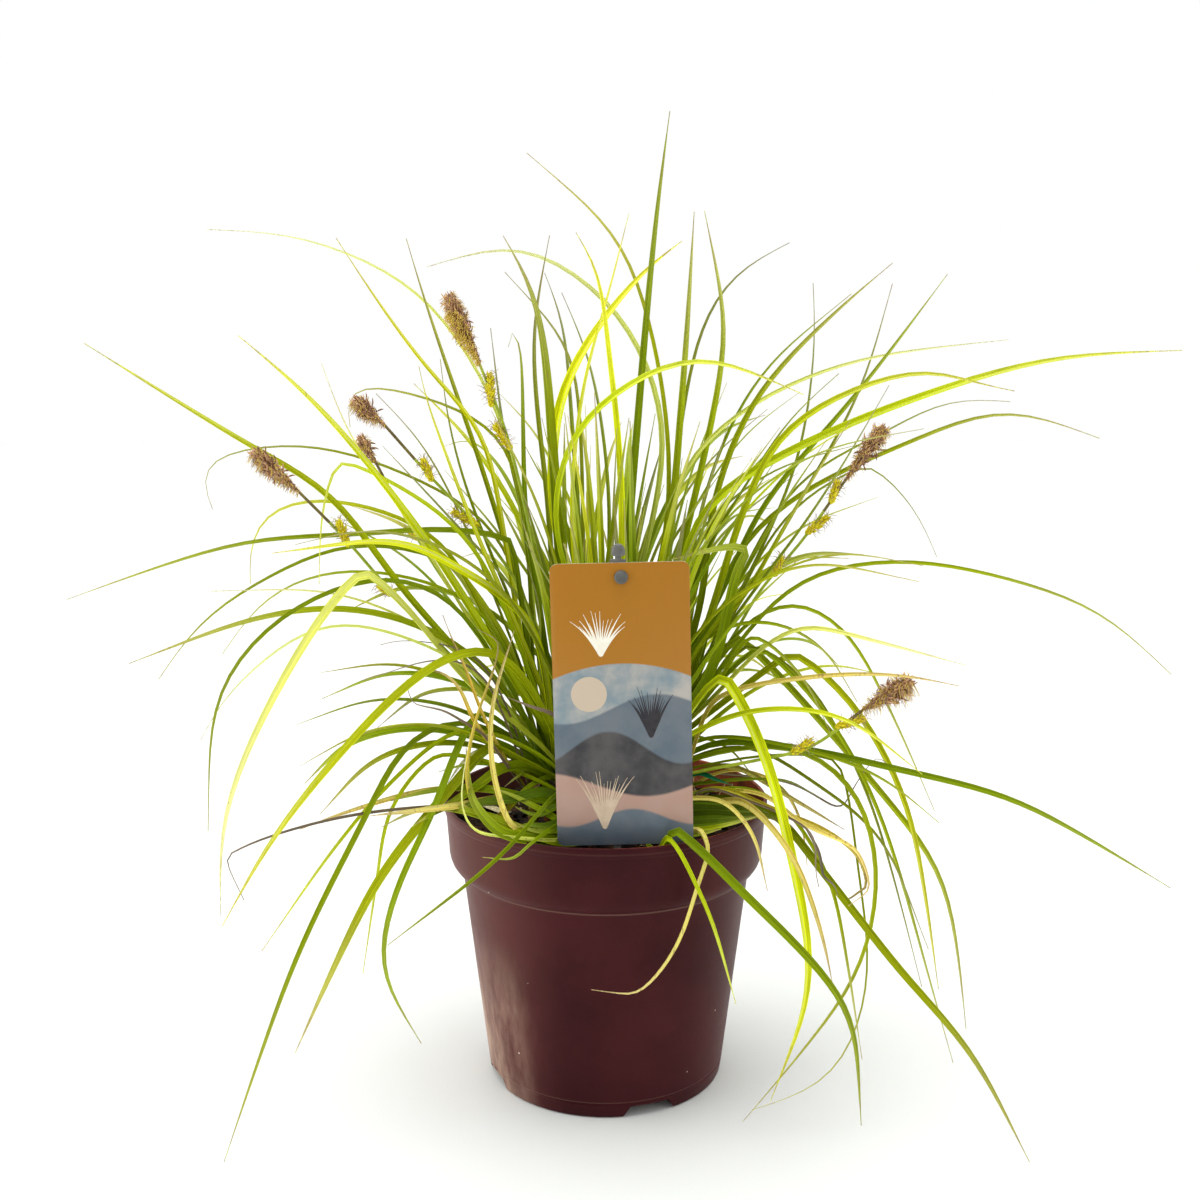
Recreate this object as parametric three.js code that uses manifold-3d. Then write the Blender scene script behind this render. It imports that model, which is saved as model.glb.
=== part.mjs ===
// A golden sedge in a 14 cm nursery pot, with its plant label: millimetres, +Z up, standing on z = 0.
// The origin is the centre of the pot's underside. -Y is the side that the label faces.
import * as THREE from 'three';
import { mergeVertices } from 'three/addons/utils/BufferGeometryUtils.js';
import Module from 'manifold-3d';

const wasm = await Module();
wasm.setup();

// ---------------------------------------------------------------- driving dimensions

const GAP = 0.4;                       // clearance between pieces that touch on the real thing
const DEGREE = Math.PI / 180;

const POT = {
  height: 124,
  rimRadius: 70,                       // outside, at the top
  collarRadius: 68.2,                  // outside, at the collar's lower edge
  collarBottom: 96,
  shoulderRadius: 62.8,                // outside, just under the collar
  footRadius: 51.4,
  wall: 1.6,
  floor: 2.2,
  sides: 48,
};

const NOTCH = {                        // drainage notches round the foot
  count: 4,
  firstAngle: -69,                     // degrees from +X
  bottomWidth: 24.5,
  topWidth: 17,
  height: 5,
  innerRadius: 33,
};

const SOIL = { edge: 111.5, crown: 115.5, crownRadius: 34, sides: 36 };

const CARD = {                         // the plant label
  width: 54, height: 113.5, thick: 0.8, corner: 3,
  x: 6.3, z: 178.4, front: -57.6, roll: 1.4,
};

const STAKE = {                        // the label's stake, behind the card
  x: 4.5, width: 6.2, thick: 1.6, bottom: 78, shoulder: 236.2,
  neckWidth: 2.4, knobRadius: 2.7, knobZ: 239.6,
  pegX: 5.6, pegZ: 229.6, pegRadius: 1.7, headRadius: 2.7, headThick: 1.5,
};

const CLUMP = { pitch: 12, leavesPerTiller: 11, setPerTiller: 8 };
const SHEATH = { baseRadius: 3.4, topRadius: 2.5, sunk: 11, rise: 25, sides: 6, rootOffset: 0.9 };
const HOLE = { depth: 11.4, clearance: 0.5 };
const BLADE = { keel: 0.25, minKeel: 0.9, segment: 42, clear: 0.5 };
const DRAWN = { halfWidth: 122, top: 300 };   // leaves drawn by rule stay within these
const STEM = { radius: 1.0, topRadius: 0.75 };

const FINISH = {
  pot: { color: 0x4b2024, roughness: 0.5 },
  soil: { color: 0x1c1410, roughness: 0.95 },
  card: { color: 0xb0741c, roughness: 0.4 },
  stake: { color: 0x6d7178, roughness: 0.45 },
  leaf: { color: 0x9db81a, roughness: 0.5 },
  straw: { color: 0xd8bf6c, roughness: 0.7 },
  stem: { color: 0x8aa018, roughness: 0.55 },
  spike: { color: 0x8a623a, roughness: 0.9 },
};

// ---------------------------------------------------------------- leaves with a place of their own
// Each leaf has its width and the points that it passes, from its shoulder to its tip.

const LEFT_LEAVES = [
  [2.2, [-46, 21, 289], [-71, 27, 330], [-88, 30, 345], [-132, 35, 363], [-173, 40, 366]],
  [3.2, [-52, 0, 282], [-73, 0, 306], [-94, 0, 335], [-110, 0, 360]],
  [3.4, [-54, 12, 269], [-64, 15, 298], [-77, 18, 337], [-84, 20, 361]],
  [4.2, [-86, -13, 219], [-113, -18, 258], [-143, -22, 277], [-181, -27, 302], [-205, -30, 318]],
  [5.4, [-72, -21, 237], [-102, -30, 280], [-120, -35, 301], [-142, -40, 321]],
  [2.2, [-85, -14, 254], [-104, -17, 281], [-114, -20, 310]],
  [2.4, [-45, 13, 279], [-88, 17, 298], [-111, 19, 300], [-114, 19, 296], [-110, 20, 282]],
  [3.8, [-52, -12, 238], [-67, -17, 279], [-74, -19, 301], [-75, -20, 309]],
  [1.8, [-66, 21, 250], [-81, 26, 276], [-100, 30, 296]],
  [4.2, [-40, -8, 237], [-63, -9, 245], [-102, -12, 239], [-147, -15, 238], [-222, -20, 214]],
  [3.0, [-70, 0, 236], [-99, 0, 250], [-129, 0, 253], [-147, 0, 245], [-152, 0, 225], [-151, 0, 217]],
  [2.0, [-46, 18, 238], [-85, 24, 261], [-134, 31, 274], [-180, 37, 265], [-183, 38, 256], [-176, 40, 244]],
  [6.0, [-31, -18, 205], [-59, -27, 229], [-82, -33, 240], [-131, -45, 237]],
  [3.0, [-56, -15, 238], [-84, -20, 261], [-107, -23, 270], [-114, -25, 256], [-116, -30, 222]],
  [1.8, [-65, -19, 194], [-84, -24, 208], [-112, -30, 219], [-157, -40, 221]],
  [2.6, [-45, -4, 215], [-74, -5, 231], [-108, -6, 235], [-171, -9, 202], [-189, -10, 178]],
  [4.8, [-56, -21, 191], [-84, -30, 208], [-110, -37, 214], [-140, -46, 211], [-185, -60, 196]],
  [2.2, [-64, -29, 192], [-103, -44, 209], [-120, -50, 206], [-149, -64, 182], [-156, -70, 168]],
  [3.0, [-67, -32, 220], [-90, -39, 226], [-126, -51, 214], [-150, -63, 186], [-152, -80, 135]],
  [2.2, [-57, -9, 212], [-110, -14, 225], [-141, -17, 214], [-159, -20, 191]],
  [6.2, [-56, -23, 181], [-75, -32, 207], [-96, -42, 229], [-130, -62, 182],
    [-147, -79, 137], [-146, -90, 105]],
  [5.4, [-43, -31, 195], [-63, -39, 195], [-85, -52, 180], [-127, -83, 133], [-143, -100, 105]],
  [2.8, [-57, -23, 161], [-84, -36, 145], [-107, -49, 121], [-136, -70, 82]],
  [4.0, [-57, -14, 162], [-81, -30, 158], [-96, -52, 132], [-120, -74, 85], [-150, -88, 2]],
  [6.6, [-45, -16, 153], [-64, -38, 138], [-90, -58, 109], [-123, -76, 42]],
  [5.2, [-53, -20, 165], [-70, -52, 132], [-84, -68, 103], [-88, -76, 77], [-72, -84, 50]],
  [2.6, [-69, -25, 149], [-89, -36, 129], [-93, -45, 106], [-98, -60, 68]],
  [2.8, [-20, -52, 141], [-34, -66, 128], [-46, -74, 118], [-82, -96, 96]],
  [3.0, [-20, -52, 127], [-28, -69, 126.5], [-36, -73, 122], [-49, -62, 118]],
  [2.2, [-51, 4, 235], [-60, 8, 259], [-67, 12, 286], [-70, 14, 311]],
];

const UPRIGHT_LEAVES = [
  [3.4, [11, 4, 252], [16, 7, 319], [21, 9, 372], [26, 10, 411]],
  [2.2, [27, 16, 242], [21, 26, 317], [6, 33, 361], [-34, 40, 398]],
  [4.2, [-15, -5, 253], [-9, -7, 305], [0, -8, 335], [9, -10, 369]],
  [6.0, [7, -10, 246], [1, -16, 315], [-4, -19, 350], [-12, -20, 361]],
  [5.2, [-23, 10, 252], [-20, 13, 294], [-7, 16, 320], [19, 19, 351], [32, 20, 360]],
  [2.6, [26, 31, 280], [0, 44, 337], [-38, 52, 360], [-80, 60, 351]],
  [6.0, [-20, 0, 261], [-26, 0, 321], [-31, 0, 342], [-42, 0, 361]],
  [2.4, [-25, 16, 251], [-31, 25, 323], [-24, 30, 363]],
  [1.8, [-11, 27, 280], [-16, 33, 315], [-44, 40, 348]],
  [2.2, [-15, 36, 284], [-19, 45, 327], [-27, 50, 348]],
  [1.8, [1, 19, 259], [-7, 26, 310], [-19, 30, 339]],
  [3.4, [28, 10, 247], [34, 16, 319], [37, 20, 372]],
  [3.2, [36, 14, 243], [48, 21, 298], [51, 24, 325], [42, 30, 373]],
  [1.8, [34, 33, 289], [43, 40, 327], [57, 45, 348], [81, 50, 361]],
  [3.8, [-22, -13, 246], [-13, -18, 283], [10, -21, 303], [37, -25, 313], [78, -30, 298]],
  [2.6, [-34, 6, 244], [-36, 9, 317], [-39, 10, 322], [-41, 10, 316]],
  [1.8, [-43, 15, 277], [-49, 20, 324]],
];

const RIGHT_LEAVES = [
  [2.2, [84, 21, 272], [90, 27, 319], [89, 30, 343]],
  [4.4, [45, 10, 247], [63, 14, 294], [95, 17, 329], [121, 20, 351]],
  [2.4, [50, 32, 271], [70, 40, 306], [109, 50, 339]],
  [2.6, [85, 24, 250], [111, 32, 297], [125, 40, 343]],
  [3.8, [65, 5, 248], [103, 7, 294], [123, 9, 320], [142, 10, 346]],
  [5.4, [39, -4, 249], [72, -5, 272], [133, -7, 298], [181, -9, 312], [234, -10, 315]],
  [3.0, [32, 14, 264], [62, 18, 292], [105, 23, 310], [174, 30, 319]],
  [4.8, [56, -9, 246], [71, -12, 281], [103, -15, 301], [134, -18, 308], [152, -19, 300], [164, -20, 299]],
  [3.4, [57, 6, 232], [86, 8, 257], [123, 9, 274], [168, 9, 290], [209, 9, 278]],
  [1.8, [85, 25, 259], [122, 31, 279], [151, 36, 293], [179, 40, 292]],
  [1.8, [80, 19, 246], [114, 24, 264], [136, 27, 246], [147, 30, 224]],
  [2.6, [48, -11, 191], [80, -18, 222], [120, -24, 231], [198, -37, 212], [227, -40, 187]],
  [4.2, [40, -13, 147], [81, -25, 150], [116, -36, 147], [162, -52, 139], [220, -72, 109]],
  [2.6, [40, -15, 150], [80, -28, 153], [112, -40, 144], [134, -50, 128]],
  [4.2, [46, -17, 171], [63, -25, 194], [79, -30, 205], [106, -39, 201], [142, -50, 193]],
  [5.2, [65, -24, 131], [87, -48, 108], [116, -70, 74], [142, -82, 46], [166, -88, 2]],
  [5.2, [23, -45, 118], [27, -57, 117.8], [31, -61.5, 126.2], [36, -68, 124], [52, -78, 110],
    [75, -82, 88], [94, -84, 63], [101, -80, 13]],
  [3.4, [17, -47, 117.5], [21, -57, 117.8], [24.5, -64, 126.2], [28, -71, 124],
    [34, -75, 113], [41, -76, 97], [51, -75, 62]],
  [5.2, [81, -20, 154], [103, -34, 137], [111, -46, 107], [103, -56, 68], [56, -62, 4]],
  [6.8, [35, -22, 172], [47, -36, 184], [61, -46, 161], [74, -56, 115], [82, -62, 64], [67, -62, 14]],
  [2.2, [98, -10, 142], [105, -30, 105], [108, -48, 55], [91, -62, 23], [59, -68, 13]],
  [5.2, [42, -7, 183], [55, -9, 195], [78, -13, 174], [112, -18, 136], [142, -23, 97], [154, -30, 29]],
  [3.2, [64, -16, 192], [89, -22, 170], [110, -29, 135], [144, -50, 24]],
  [2.4, [56, -14, 196], [81, -18, 183], [108, -26, 136], [132, -40, 53]],
  [4.8, [55, -11, 173], [78, -15, 189], [102, -20, 171], [125, -27, 130], [139, -40, 52]],
  [2.2, [57, -15, 150], [88, -23, 136], [114, -32, 116], [133, -45, 72]],
  [3.2, [58, -22, 133], [73, -29, 127], [92, -42, 101], [97, -54, 76], [102, -72, 37]],
  [4.6, [41, -17, 179], [53, -29, 228], [56, -32, 236], [52, -33, 238], [26, -40, 233]],
  [2.8, [46, -6, 181], [59, -8, 202], [79, -10, 212], [100, -12, 200], [139, -20, 123]],
  [2.6, [43, -15, 196], [66, -20, 205], [88, -25, 196], [103, -30, 173]],
  [2.8, [44, -17, 175], [60, -25, 199], [79, -32, 186], [91, -40, 162]],
  [3.6, [57, -10, 212], [70, -16, 238], [83, -22, 263], [97, -28, 288]],
  [2.6, [64, -14, 217], [81, -24, 247], [97, -32, 276], [110, -38, 302]],
  [2.0, [42, 4, 228], [60, 8, 259], [78, 12, 286], [99, 16, 305]],
  [4.0, [50, -16, 208], [59, -24, 231], [71, -32, 256], [86, -40, 281]],
];

// Straw-coloured and dead leaves, in bunches that stand at the clump's edge.
const DRY_BUNCHES = [
  {
    place: [-31, -12],
    leaves: [
      [3.0, [-69, -26, 135], [-107, -40, 129], [-124, -46, 124]],
      [4.0, [-63, -48, 134], [-93, -62, 135]],
      [2.6, [-84, -44, 132], [-114, -54, 130], [-143, -60, 122], [-150, -61, 117], [-144, -62, 100]],
      [3.2, [-48, -44, 127], [-56, -47, 140], [-53, -41, 167], [-45, -33, 189],
        [-44, -32, 199], [-52, -33, 204]],
    ],
  },
  {
    place: [-17, -29],
    leaves: [
      [3.0, [-24, -50, 124], [-37, -59, 130], [-45, -50, 148], [-46, -42, 173], [-37, -36, 204]],
      [1.8, [-20, -56, 124], [-40, -63, 127], [-53, -57, 127], [-58, -50, 135], [-55, -40, 162]],
    ],
  },
  {
    place: [17, -29],
    leaves: [
      [2.8, [33, -47, 124], [38, -58, 127], [40, -65, 122], [36, -65, 107],
        [27, -64, 79], [12, -64, 62], [-6, -64, 63]],
      [2.4, [46, -46, 136], [58, -56, 126], [64, -62, 104]],
    ],
  },
  {
    place: [31, -13],
    leaves: [
      [3.6, [55, -42, 135], [73, -60, 120], [85, -66, 89], [90, -68, 67]],
      [2.8, [66, -28, 132], [79, -44, 126], [100, -54, 118], [105, -57, 103], [97, -58, 96]],
      [2.8, [45, -22, 172], [80, -37, 185], [116, -51, 189], [137, -60, 187]],
    ],
  },
  {
    place: [32, 9],
    leaves: [
      [3.0, [52, -2, 138], [77, -22, 130], [99, -32, 119]],
      [2.4, [54, 6, 134], [74, -6, 131], [83, -14, 118], [86, -18, 98]],
      [2.0, [81, 4, 128], [100, -10, 122], [106, -20, 137], [113, -26, 148], [117, -28, 146]],
    ],
  },
];

// Flower stems: where each stands, the points that it passes, and the last one is its spike's foot.
// head is the spike's length and the way it points; side holds the side spikelets by share of the stem.
const FLOWER_STEMS = [
  { place: [-12, 6.9], path: [[-26, 0, 206], [-32, 0, 240], [-42, 0, 282], [-53, 0, 311]],
    head: [-12, 0, 27], radius: 3.3, side: [[0.8, 14], [0.93, 15]] },
  { place: [-12, -6.9], path: [[-36, -5, 215], [-53, -6, 241], [-75, -8, 266], [-91, -10, 285]],
    head: [-12, 0, 10], radius: 2.9, side: [[0.72, 14], [0.85, 11]] },
  { place: [-18, -3.5], path: [[-56, -12, 178], [-85, -20, 213], [-106, -25, 240], [-124, -28, 260]],
    head: [-17, -2, 16], radius: 3.1, side: [[0.7, 9], [0.84, 13]] },
  { place: [-6, 3.5], path: [[-50, 4, 190], [-71, 6, 220], [-86, 8, 245], [-98, 10, 268]],
    head: [-6, 0, 10], radius: 1.7, side: [[0.8, 6]] },
  { place: [12, 6.9], path: [[53, -3, 193], [65, -3, 214], [84, -3, 238], [101, -3, 263]],
    head: [15, 0, 21], radius: 3.0, side: [[0.72, 10], [0.84, 13], [0.93, 11]] },
  { place: [18, -3.5], path: [[40, -34, 145], [60, -40, 151], [82, -44, 158], [103, -48, 175]],
    head: [18, -2, 12], radius: 3.3, side: [[0.74, 11], [0.9, 13]] },
];

const SPIKE_GAP = 0.35;                // between a stem's end and its male spike

// ---------------------------------------------------------------- small vector and curve helpers

const add = (a, b, k = 1) => [a[0] + b[0] * k, a[1] + b[1] * k, a[2] + b[2] * k];
const sub = (a, b) => add(a, b, -1);
const dot = (a, b) => a[0] * b[0] + a[1] * b[1] + a[2] * b[2];
const cross = (a, b) => [a[1] * b[2] - a[2] * b[1], a[2] * b[0] - a[0] * b[2], a[0] * b[1] - a[1] * b[0]];
const length = (a) => Math.sqrt(dot(a, a));
const unit = (a) => { const l = length(a) || 1; return [a[0] / l, a[1] / l, a[2] / l]; };
const clamp = (v, low, high) => Math.min(high, Math.max(low, v));
const mix = (a, b, t) => a + (b - a) * t;

/** A seeded draw of numbers from 0 to 1. */
function seeded(seed) {
  let state = seed >>> 0;
  return () => {
    state = (state + 0x6d2b79f5) >>> 0;
    let t = Math.imul(state ^ (state >>> 15), 1 | state);
    t = (t + Math.imul(t ^ (t >>> 7), 61 | t)) ^ t;
    return ((t ^ (t >>> 14)) >>> 0) / 4294967296;
  };
}

/** Point at share t of the span b-c of a centripetal Catmull-Rom curve through a, b, c, d. */
function spanPoint(a, b, c, d, t) {
  const knot = (p, q) => Math.max(Math.sqrt(length(sub(p, q))), 1e-3);
  const [ab, bc, cd] = [knot(a, b), knot(b, c), knot(c, d)];
  return [0, 1, 2].map((i) => {
    const start = ((b[i] - a[i]) / ab - (c[i] - a[i]) / (ab + bc) + (c[i] - b[i]) / bc) * bc;
    const end = ((c[i] - b[i]) / bc - (d[i] - b[i]) / (bc + cd) + (d[i] - c[i]) / cd) * bc;
    const square = -3 * b[i] + 3 * c[i] - 2 * start - end;
    const cube = 2 * b[i] - 2 * c[i] + start + end;
    return b[i] + start * t + square * t * t + cube * t * t * t;
  });
}

/** Stations along the smooth curve through some points, one segment or more to each span. */
function stationsThrough(points, segment) {
  const first = sub(add(points[0], points[0]), points[1]);
  const last = sub(add(points.at(-1), points.at(-1)), points.at(-2));
  const all = [first, ...points, last];
  const stations = [points[0]];
  for (let i = 1; i < all.length - 2; i += 1) {
    const pieces = Math.max(1, Math.round(length(sub(all[i + 1], all[i])) / segment));
    for (let k = 1; k <= pieces; k += 1) {
      stations.push(spanPoint(all[i - 1], all[i], all[i + 1], all[i + 2], k / pieces));
    }
  }
  return stations;
}

// ---------------------------------------------------------------- the rule that places the leaves

/** Height of the soil at a distance from the pot's axis. */
function soilTop(radius) {
  return mix(SOIL.crown, SOIL.edge, clamp(radius / SOIL.crownRadius, 0, 1));
}

/** Nineteen tillers on a triangular grid: one, six round it and twelve round those. */
function placeTillers() {
  const tillers = [];
  for (let ring = 0; ring <= 2; ring += 1) {
    for (let step = 0; step < Math.max(1, ring * 6); step += 1) {
      const corner = ring ? Math.floor(step / ring) : 0;
      const along = ring ? (step % ring) / ring : 0;
      const from = [Math.cos(corner * 60 * DEGREE), Math.sin(corner * 60 * DEGREE)];
      const to = [Math.cos((corner + 1) * 60 * DEGREE), Math.sin((corner + 1) * 60 * DEGREE)];
      const reach = ring * CLUMP.pitch;
      tillers.push({
        ring,
        x: mix(from[0], to[0], along) * reach,
        y: mix(from[1], to[1], along) * reach,
        leaves: [],
      });
    }
  }
  return tillers;
}

/** Gives each leaf of the lists to the free tiller nearest to where its tip points. */
function shareOutSetLeaves(tillers) {
  const lean = 0.2;                    // share of a leaf's reach that its tiller stands off the middle
  for (const [width, ...points] of [...LEFT_LEAVES, ...UPRIGHT_LEAVES, ...RIGHT_LEAVES]) {
    const tip = points.at(-1);
    const reach = Math.hypot(tip[0], tip[1]);
    const scale = Math.min(lean, 2 * CLUMP.pitch / reach);
    const distance = (t) => Math.hypot(t.x - tip[0] * scale, t.y - tip[1] * scale);
    const free = tillers.filter((t) => t.leaves.length < CLUMP.setPerTiller);
    const home = free.reduce((best, t) => (distance(t) < distance(best) - 1e-6 ? t : best));
    home.leaves.push({ width, points });
  }
}

/** Where a leaf leaves its sheath, and the point near it that turns it upwards first. */
function rootPoints(x, y, z, next) {
  const heading = Math.hypot(next[0] - x, next[1] - y) || 1;
  const [ahead, aside] = [(next[0] - x) / heading, (next[1] - y) / heading];
  const rise = clamp((next[2] - z) * 0.3, 1, 13);
  const inner = SHEATH.rootOffset;
  const outer = Math.min(3.4, heading * 0.3);
  return [
    [x + ahead * inner, y + aside * inner, z],
    [x + ahead * outer, y + aside * outer, z + rise],
  ];
}

/** A free-standing leaf: an arc that leans further over towards its tip. */
function arcStations(root, heading, lean, droop, reach, segments) {
  const steps = 4;
  const out = [Math.cos(heading), Math.sin(heading)];
  const stations = [root];
  let point = root;
  for (let k = 0; k < segments * steps; k += 1) {
    const share = (k + 0.5) / (segments * steps);
    const angle = lean + droop * share ** 1.6;
    const stride = reach / (segments * steps);
    point = add(point, [Math.sin(angle) * out[0], Math.sin(angle) * out[1], Math.cos(angle)], stride);
    if ((k + 1) % steps === 0) stations.push(point);
  }
  return stations;
}

/** A leaf drawn by rule: it leans away from the clump's middle, more so in the outer tillers. */
function drawnLeaf(tiller, index, count, z, draw) {
  const outward = Math.atan2(tiller.y, tiller.x);
  const spread = [180, 105, 70][tiller.ring] * DEGREE;
  const even = tiller.ring ? draw() * 2 - 1 : (2 * index + draw()) / count - 1;
  const heading = outward + spread * even;
  const front = -Math.sin(heading) > 0.5;
  const sprawls = tiller.ring === 2 && draw() < 0.35 && !front;
  const ease = front ? 0.35 : 1;
  const lean = (sprawls ? 34 + 26 * draw() : (3 + [9, 15, 24][tiller.ring] * draw()) * ease) * DEGREE;
  const over = sprawls ? 62 + 40 * draw() : (8 + [50, 80, 105][tiller.ring] * draw() ** 1.5) * ease;
  const droop = over * DEGREE;
  const reach = sprawls ? 110 + 90 * draw() : 80 + 80 * draw() + 55 * droop;
  const width = 2.2 + 3.2 * draw();
  const turn = (draw() - 0.5) * 100 * DEGREE;
  const segments = clamp(Math.round(reach / BLADE.segment), 4, 7);
  const inner = SHEATH.rootOffset;
  const root = [tiller.x + Math.cos(heading) * inner, tiller.y + Math.sin(heading) * inner, z];
  const arc = (size) => arcStations(root, heading, lean, droop, size, segments);
  const far = Math.max(...arc(reach).map((p) => Math.abs(p[0]) / DRAWN.halfWidth));
  const high = Math.max(...arc(reach).map((p) => (p[2] - z) / (DRAWN.top - z)));
  const stations = arc(reach / Math.max(1, far, high));
  return { width, drawn: true, upperSide: upperSideOf(heading, turn), stations };
}

/** Every leaf of a tiller or bunch as stations, width and the way its upper face looks. */
function growLeaves(tiller, total, draw) {
  const set = tiller.leaves.map(({ width, points }) => ({ width, points }));
  const rank = (leaf) => leaf.points.at(-1)[2];
  set.sort((a, b) => rank(a) - rank(b));
  const drawn = Math.max(0, total - set.length);
  const count = set.length + drawn;
  const base = soilTop(Math.hypot(tiller.x, tiller.y)) + 7;
  const step = (SHEATH.rise - 9) / Math.max(1, count);
  const grown = set.map((leaf, k) => {
    const z = base + step * k;
    const tip = leaf.points.at(-1);
    const heading = Math.atan2(tip[1] - tiller.y, tip[0] - tiller.x);
    const turn = (60 * Math.cos(heading) + 30 * (draw() - 0.5)) * DEGREE;
    const points = [...rootPoints(tiller.x, tiller.y, z, leaf.points[0]), ...leaf.points];
    return {
      width: leaf.width,
      upperSide: upperSideOf(heading, turn),
      stations: stationsThrough(points, BLADE.segment),
    };
  });
  for (let k = 0; k < drawn; k += 1) {
    grown.push(drawnLeaf(tiller, k, drawn, base + step * (set.length + k), draw));
  }
  return grown;
}

// ---------------------------------------------------------------- bending leaves clear of each other

/** Width of a blade at a share of its length: narrow in the sheath, widest low down, and a long tip. */
function bladeWidth(width, share) {
  const swell = mix(Math.min(0.62, 2.6 / width), 1, clamp(share / 0.22, 0, 1));
  return width * swell * (1 - share ** 4.2);
}

/** Depth of a blade's keel under its upper face. */
const bladeKeel = (width, share) => Math.max(BLADE.minKeel, width * BLADE.keel) * (1 - 0.3 * share);

/** Shares of a leaf's length at its stations. */
function lengthShares(stations) {
  const run = [0];
  for (let i = 1; i < stations.length; i += 1) {
    run.push(run[i - 1] + length(sub(stations[i], stations[i - 1])));
  }
  return run.map((v) => v / run.at(-1));
}

/** The way along, across and out of the upper face at each station, turning no more than it must. */
function carriedFrames(stations, upperSide) {
  const frames = [];
  stations.forEach((_, i) => {
    const [before, after] = [stations[Math.max(i - 1, 0)], stations[Math.min(i + 1, stations.length - 1)]];
    const ahead = unit(sub(after, before));
    let normal = upperSide;
    if (i > 0) {
      const last = frames[i - 1];
      const both = add(last.ahead, ahead);
      normal = add(last.normal, both, -dot(last.normal, ahead) / Math.max(0.05, 1 + dot(last.ahead, ahead)));
    }
    normal = unit(add(normal, ahead, -dot(normal, ahead)));
    frames.push({ ahead, normal, across: cross(ahead, normal) });
  });
  return frames;
}

/** A level direction at the root that a leaf's upper side faces, turned from the clump's middle. */
const upperSideOf = (heading, turn) => [-Math.cos(heading + turn), -Math.sin(heading + turn), 0];

/** Closest points of segments p-q and r-s, as shares along each. */
function closestShares(p, q, r, s) {
  const [u, v, w] = [sub(q, p), sub(s, r), sub(p, r)];
  const [uu, uv, vv, uw, vw] = [dot(u, u), dot(u, v), dot(v, v), dot(u, w), dot(v, w)];
  const slant = uu * vv - uv * uv;
  let a = slant > 1e-9 ? clamp((uv * vw - vv * uw) / slant, 0, 1) : 0.5;
  const b = clamp((uv * a + vw) / vv, 0, 1);
  a = clamp((uv * b - uw) / uu, 0, 1);
  return [a, b];
}

/** How far a strand's section reaches from its line in a direction. */
function reachOut(strand, direction) {
  const across = Math.abs(dot(direction, strand.across)) * strand.half;
  const below = -dot(direction, strand.normal) * strand.keel;
  return strand.round + Math.max(across, below);
}

/** Strands of a leaf, one to a segment. */
function leafStrands(leaf) {
  const shares = lengthShares(leaf.stations);
  return leaf.stations.slice(1).map((_, i) => {
    const middle = (shares[i] + shares[i + 1]) / 2;
    return {
      leaf,
      i,
      node: leaf.node,
      half: bladeWidth(leaf.width, middle) / 2,
      keel: bladeKeel(leaf.width, middle),
      round: 0,
      sheathed: i === 0,
    };
  });
}

/** A fixed round strand, such as a sheath, a stem or a spike. */
function roundStrand(node, from, to, round) {
  const zero = [0, 0, 0];
  return { leaf: null, node, from, to, half: 0, keel: 0, round, across: zero, normal: zero, sheathed: true };
}

/** Brings a strand's ends and frame up to date with its leaf. */
function refresh(strand) {
  if (!strand.leaf) return;
  const { stations, frames } = strand.leaf;
  strand.from = stations[strand.i];
  strand.to = stations[strand.i + 1];
  const ahead = unit(sub(strand.to, strand.from));
  const normal = add(frames[strand.i].normal, frames[strand.i + 1].normal);
  strand.normal = unit(add(normal, ahead, -dot(normal, ahead)));
  strand.across = cross(ahead, strand.normal);
}

/** How freely a station moves: roots stay in their sheaths. */
const freedom = (i) => [0, 0.4, 0.8][i] ?? 1;

/** Pairs of strands that are near enough to meet. */
function nearPairs(strands, margin) {
  const balls = strands.map((s) => ({
    middle: [(s.from[0] + s.to[0]) / 2, (s.from[1] + s.to[1]) / 2, (s.from[2] + s.to[2]) / 2],
    radius: length(sub(s.to, s.from)) / 2,
  }));
  const pairs = [];
  for (let i = 0; i < strands.length; i += 1) {
    for (let j = i + 1; j < strands.length; j += 1) {
      const [a, b] = [strands[i], strands[j]];
      if (!a.leaf && !b.leaf) continue;
      if (a.leaf === b.leaf) continue;
      if (a.node === b.node && ((a.sheathed && b.sheathed) || !a.leaf || !b.leaf)) continue;
      const far = balls[i].radius + balls[j].radius + margin;
      const apart = sub(balls[i].middle, balls[j].middle);
      if (dot(apart, apart) < far * far) pairs.push([a, b]);
    }
  }
  return pairs;
}

/** Adds a push at a share along a strand to its leaf's stations. */
function push(strand, share, direction, amount) {
  if (!strand.leaf) return;
  const { pushes } = strand.leaf;
  const ends = [[strand.i, 1 - share], [strand.i + 1, share]];
  const weight = ends.reduce((sum, [k, w]) => sum + w * w, 0);
  for (const [k, w] of ends) {
    pushes[k] = add(pushes[k], direction, amount * w / weight * freedom(k));
  }
}

/** Pushes two strands apart where they are closer than their sections need. */
function partStrands(a, b) {
  const [s, t] = closestShares(a.from, a.to, b.from, b.to);
  const at = add(a.from, sub(a.to, a.from), s);
  const other = add(b.from, sub(b.to, b.from), t);
  let apart = sub(other, at);
  if (length(apart) < 1e-4) apart = [0, 0, 1e-3];
  const direction = unit(apart);
  const need = reachOut(a, direction) + reachOut(b, direction.map((v) => -v)) + BLADE.clear;
  const lack = need - length(apart);
  if (lack <= 0) return;
  const shareOfA = a.leaf && b.leaf ? 0.5 : 1;
  push(a, s, direction, -lack * shareOfA);
  push(b, t, direction, lack * shareOfA);
}

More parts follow.
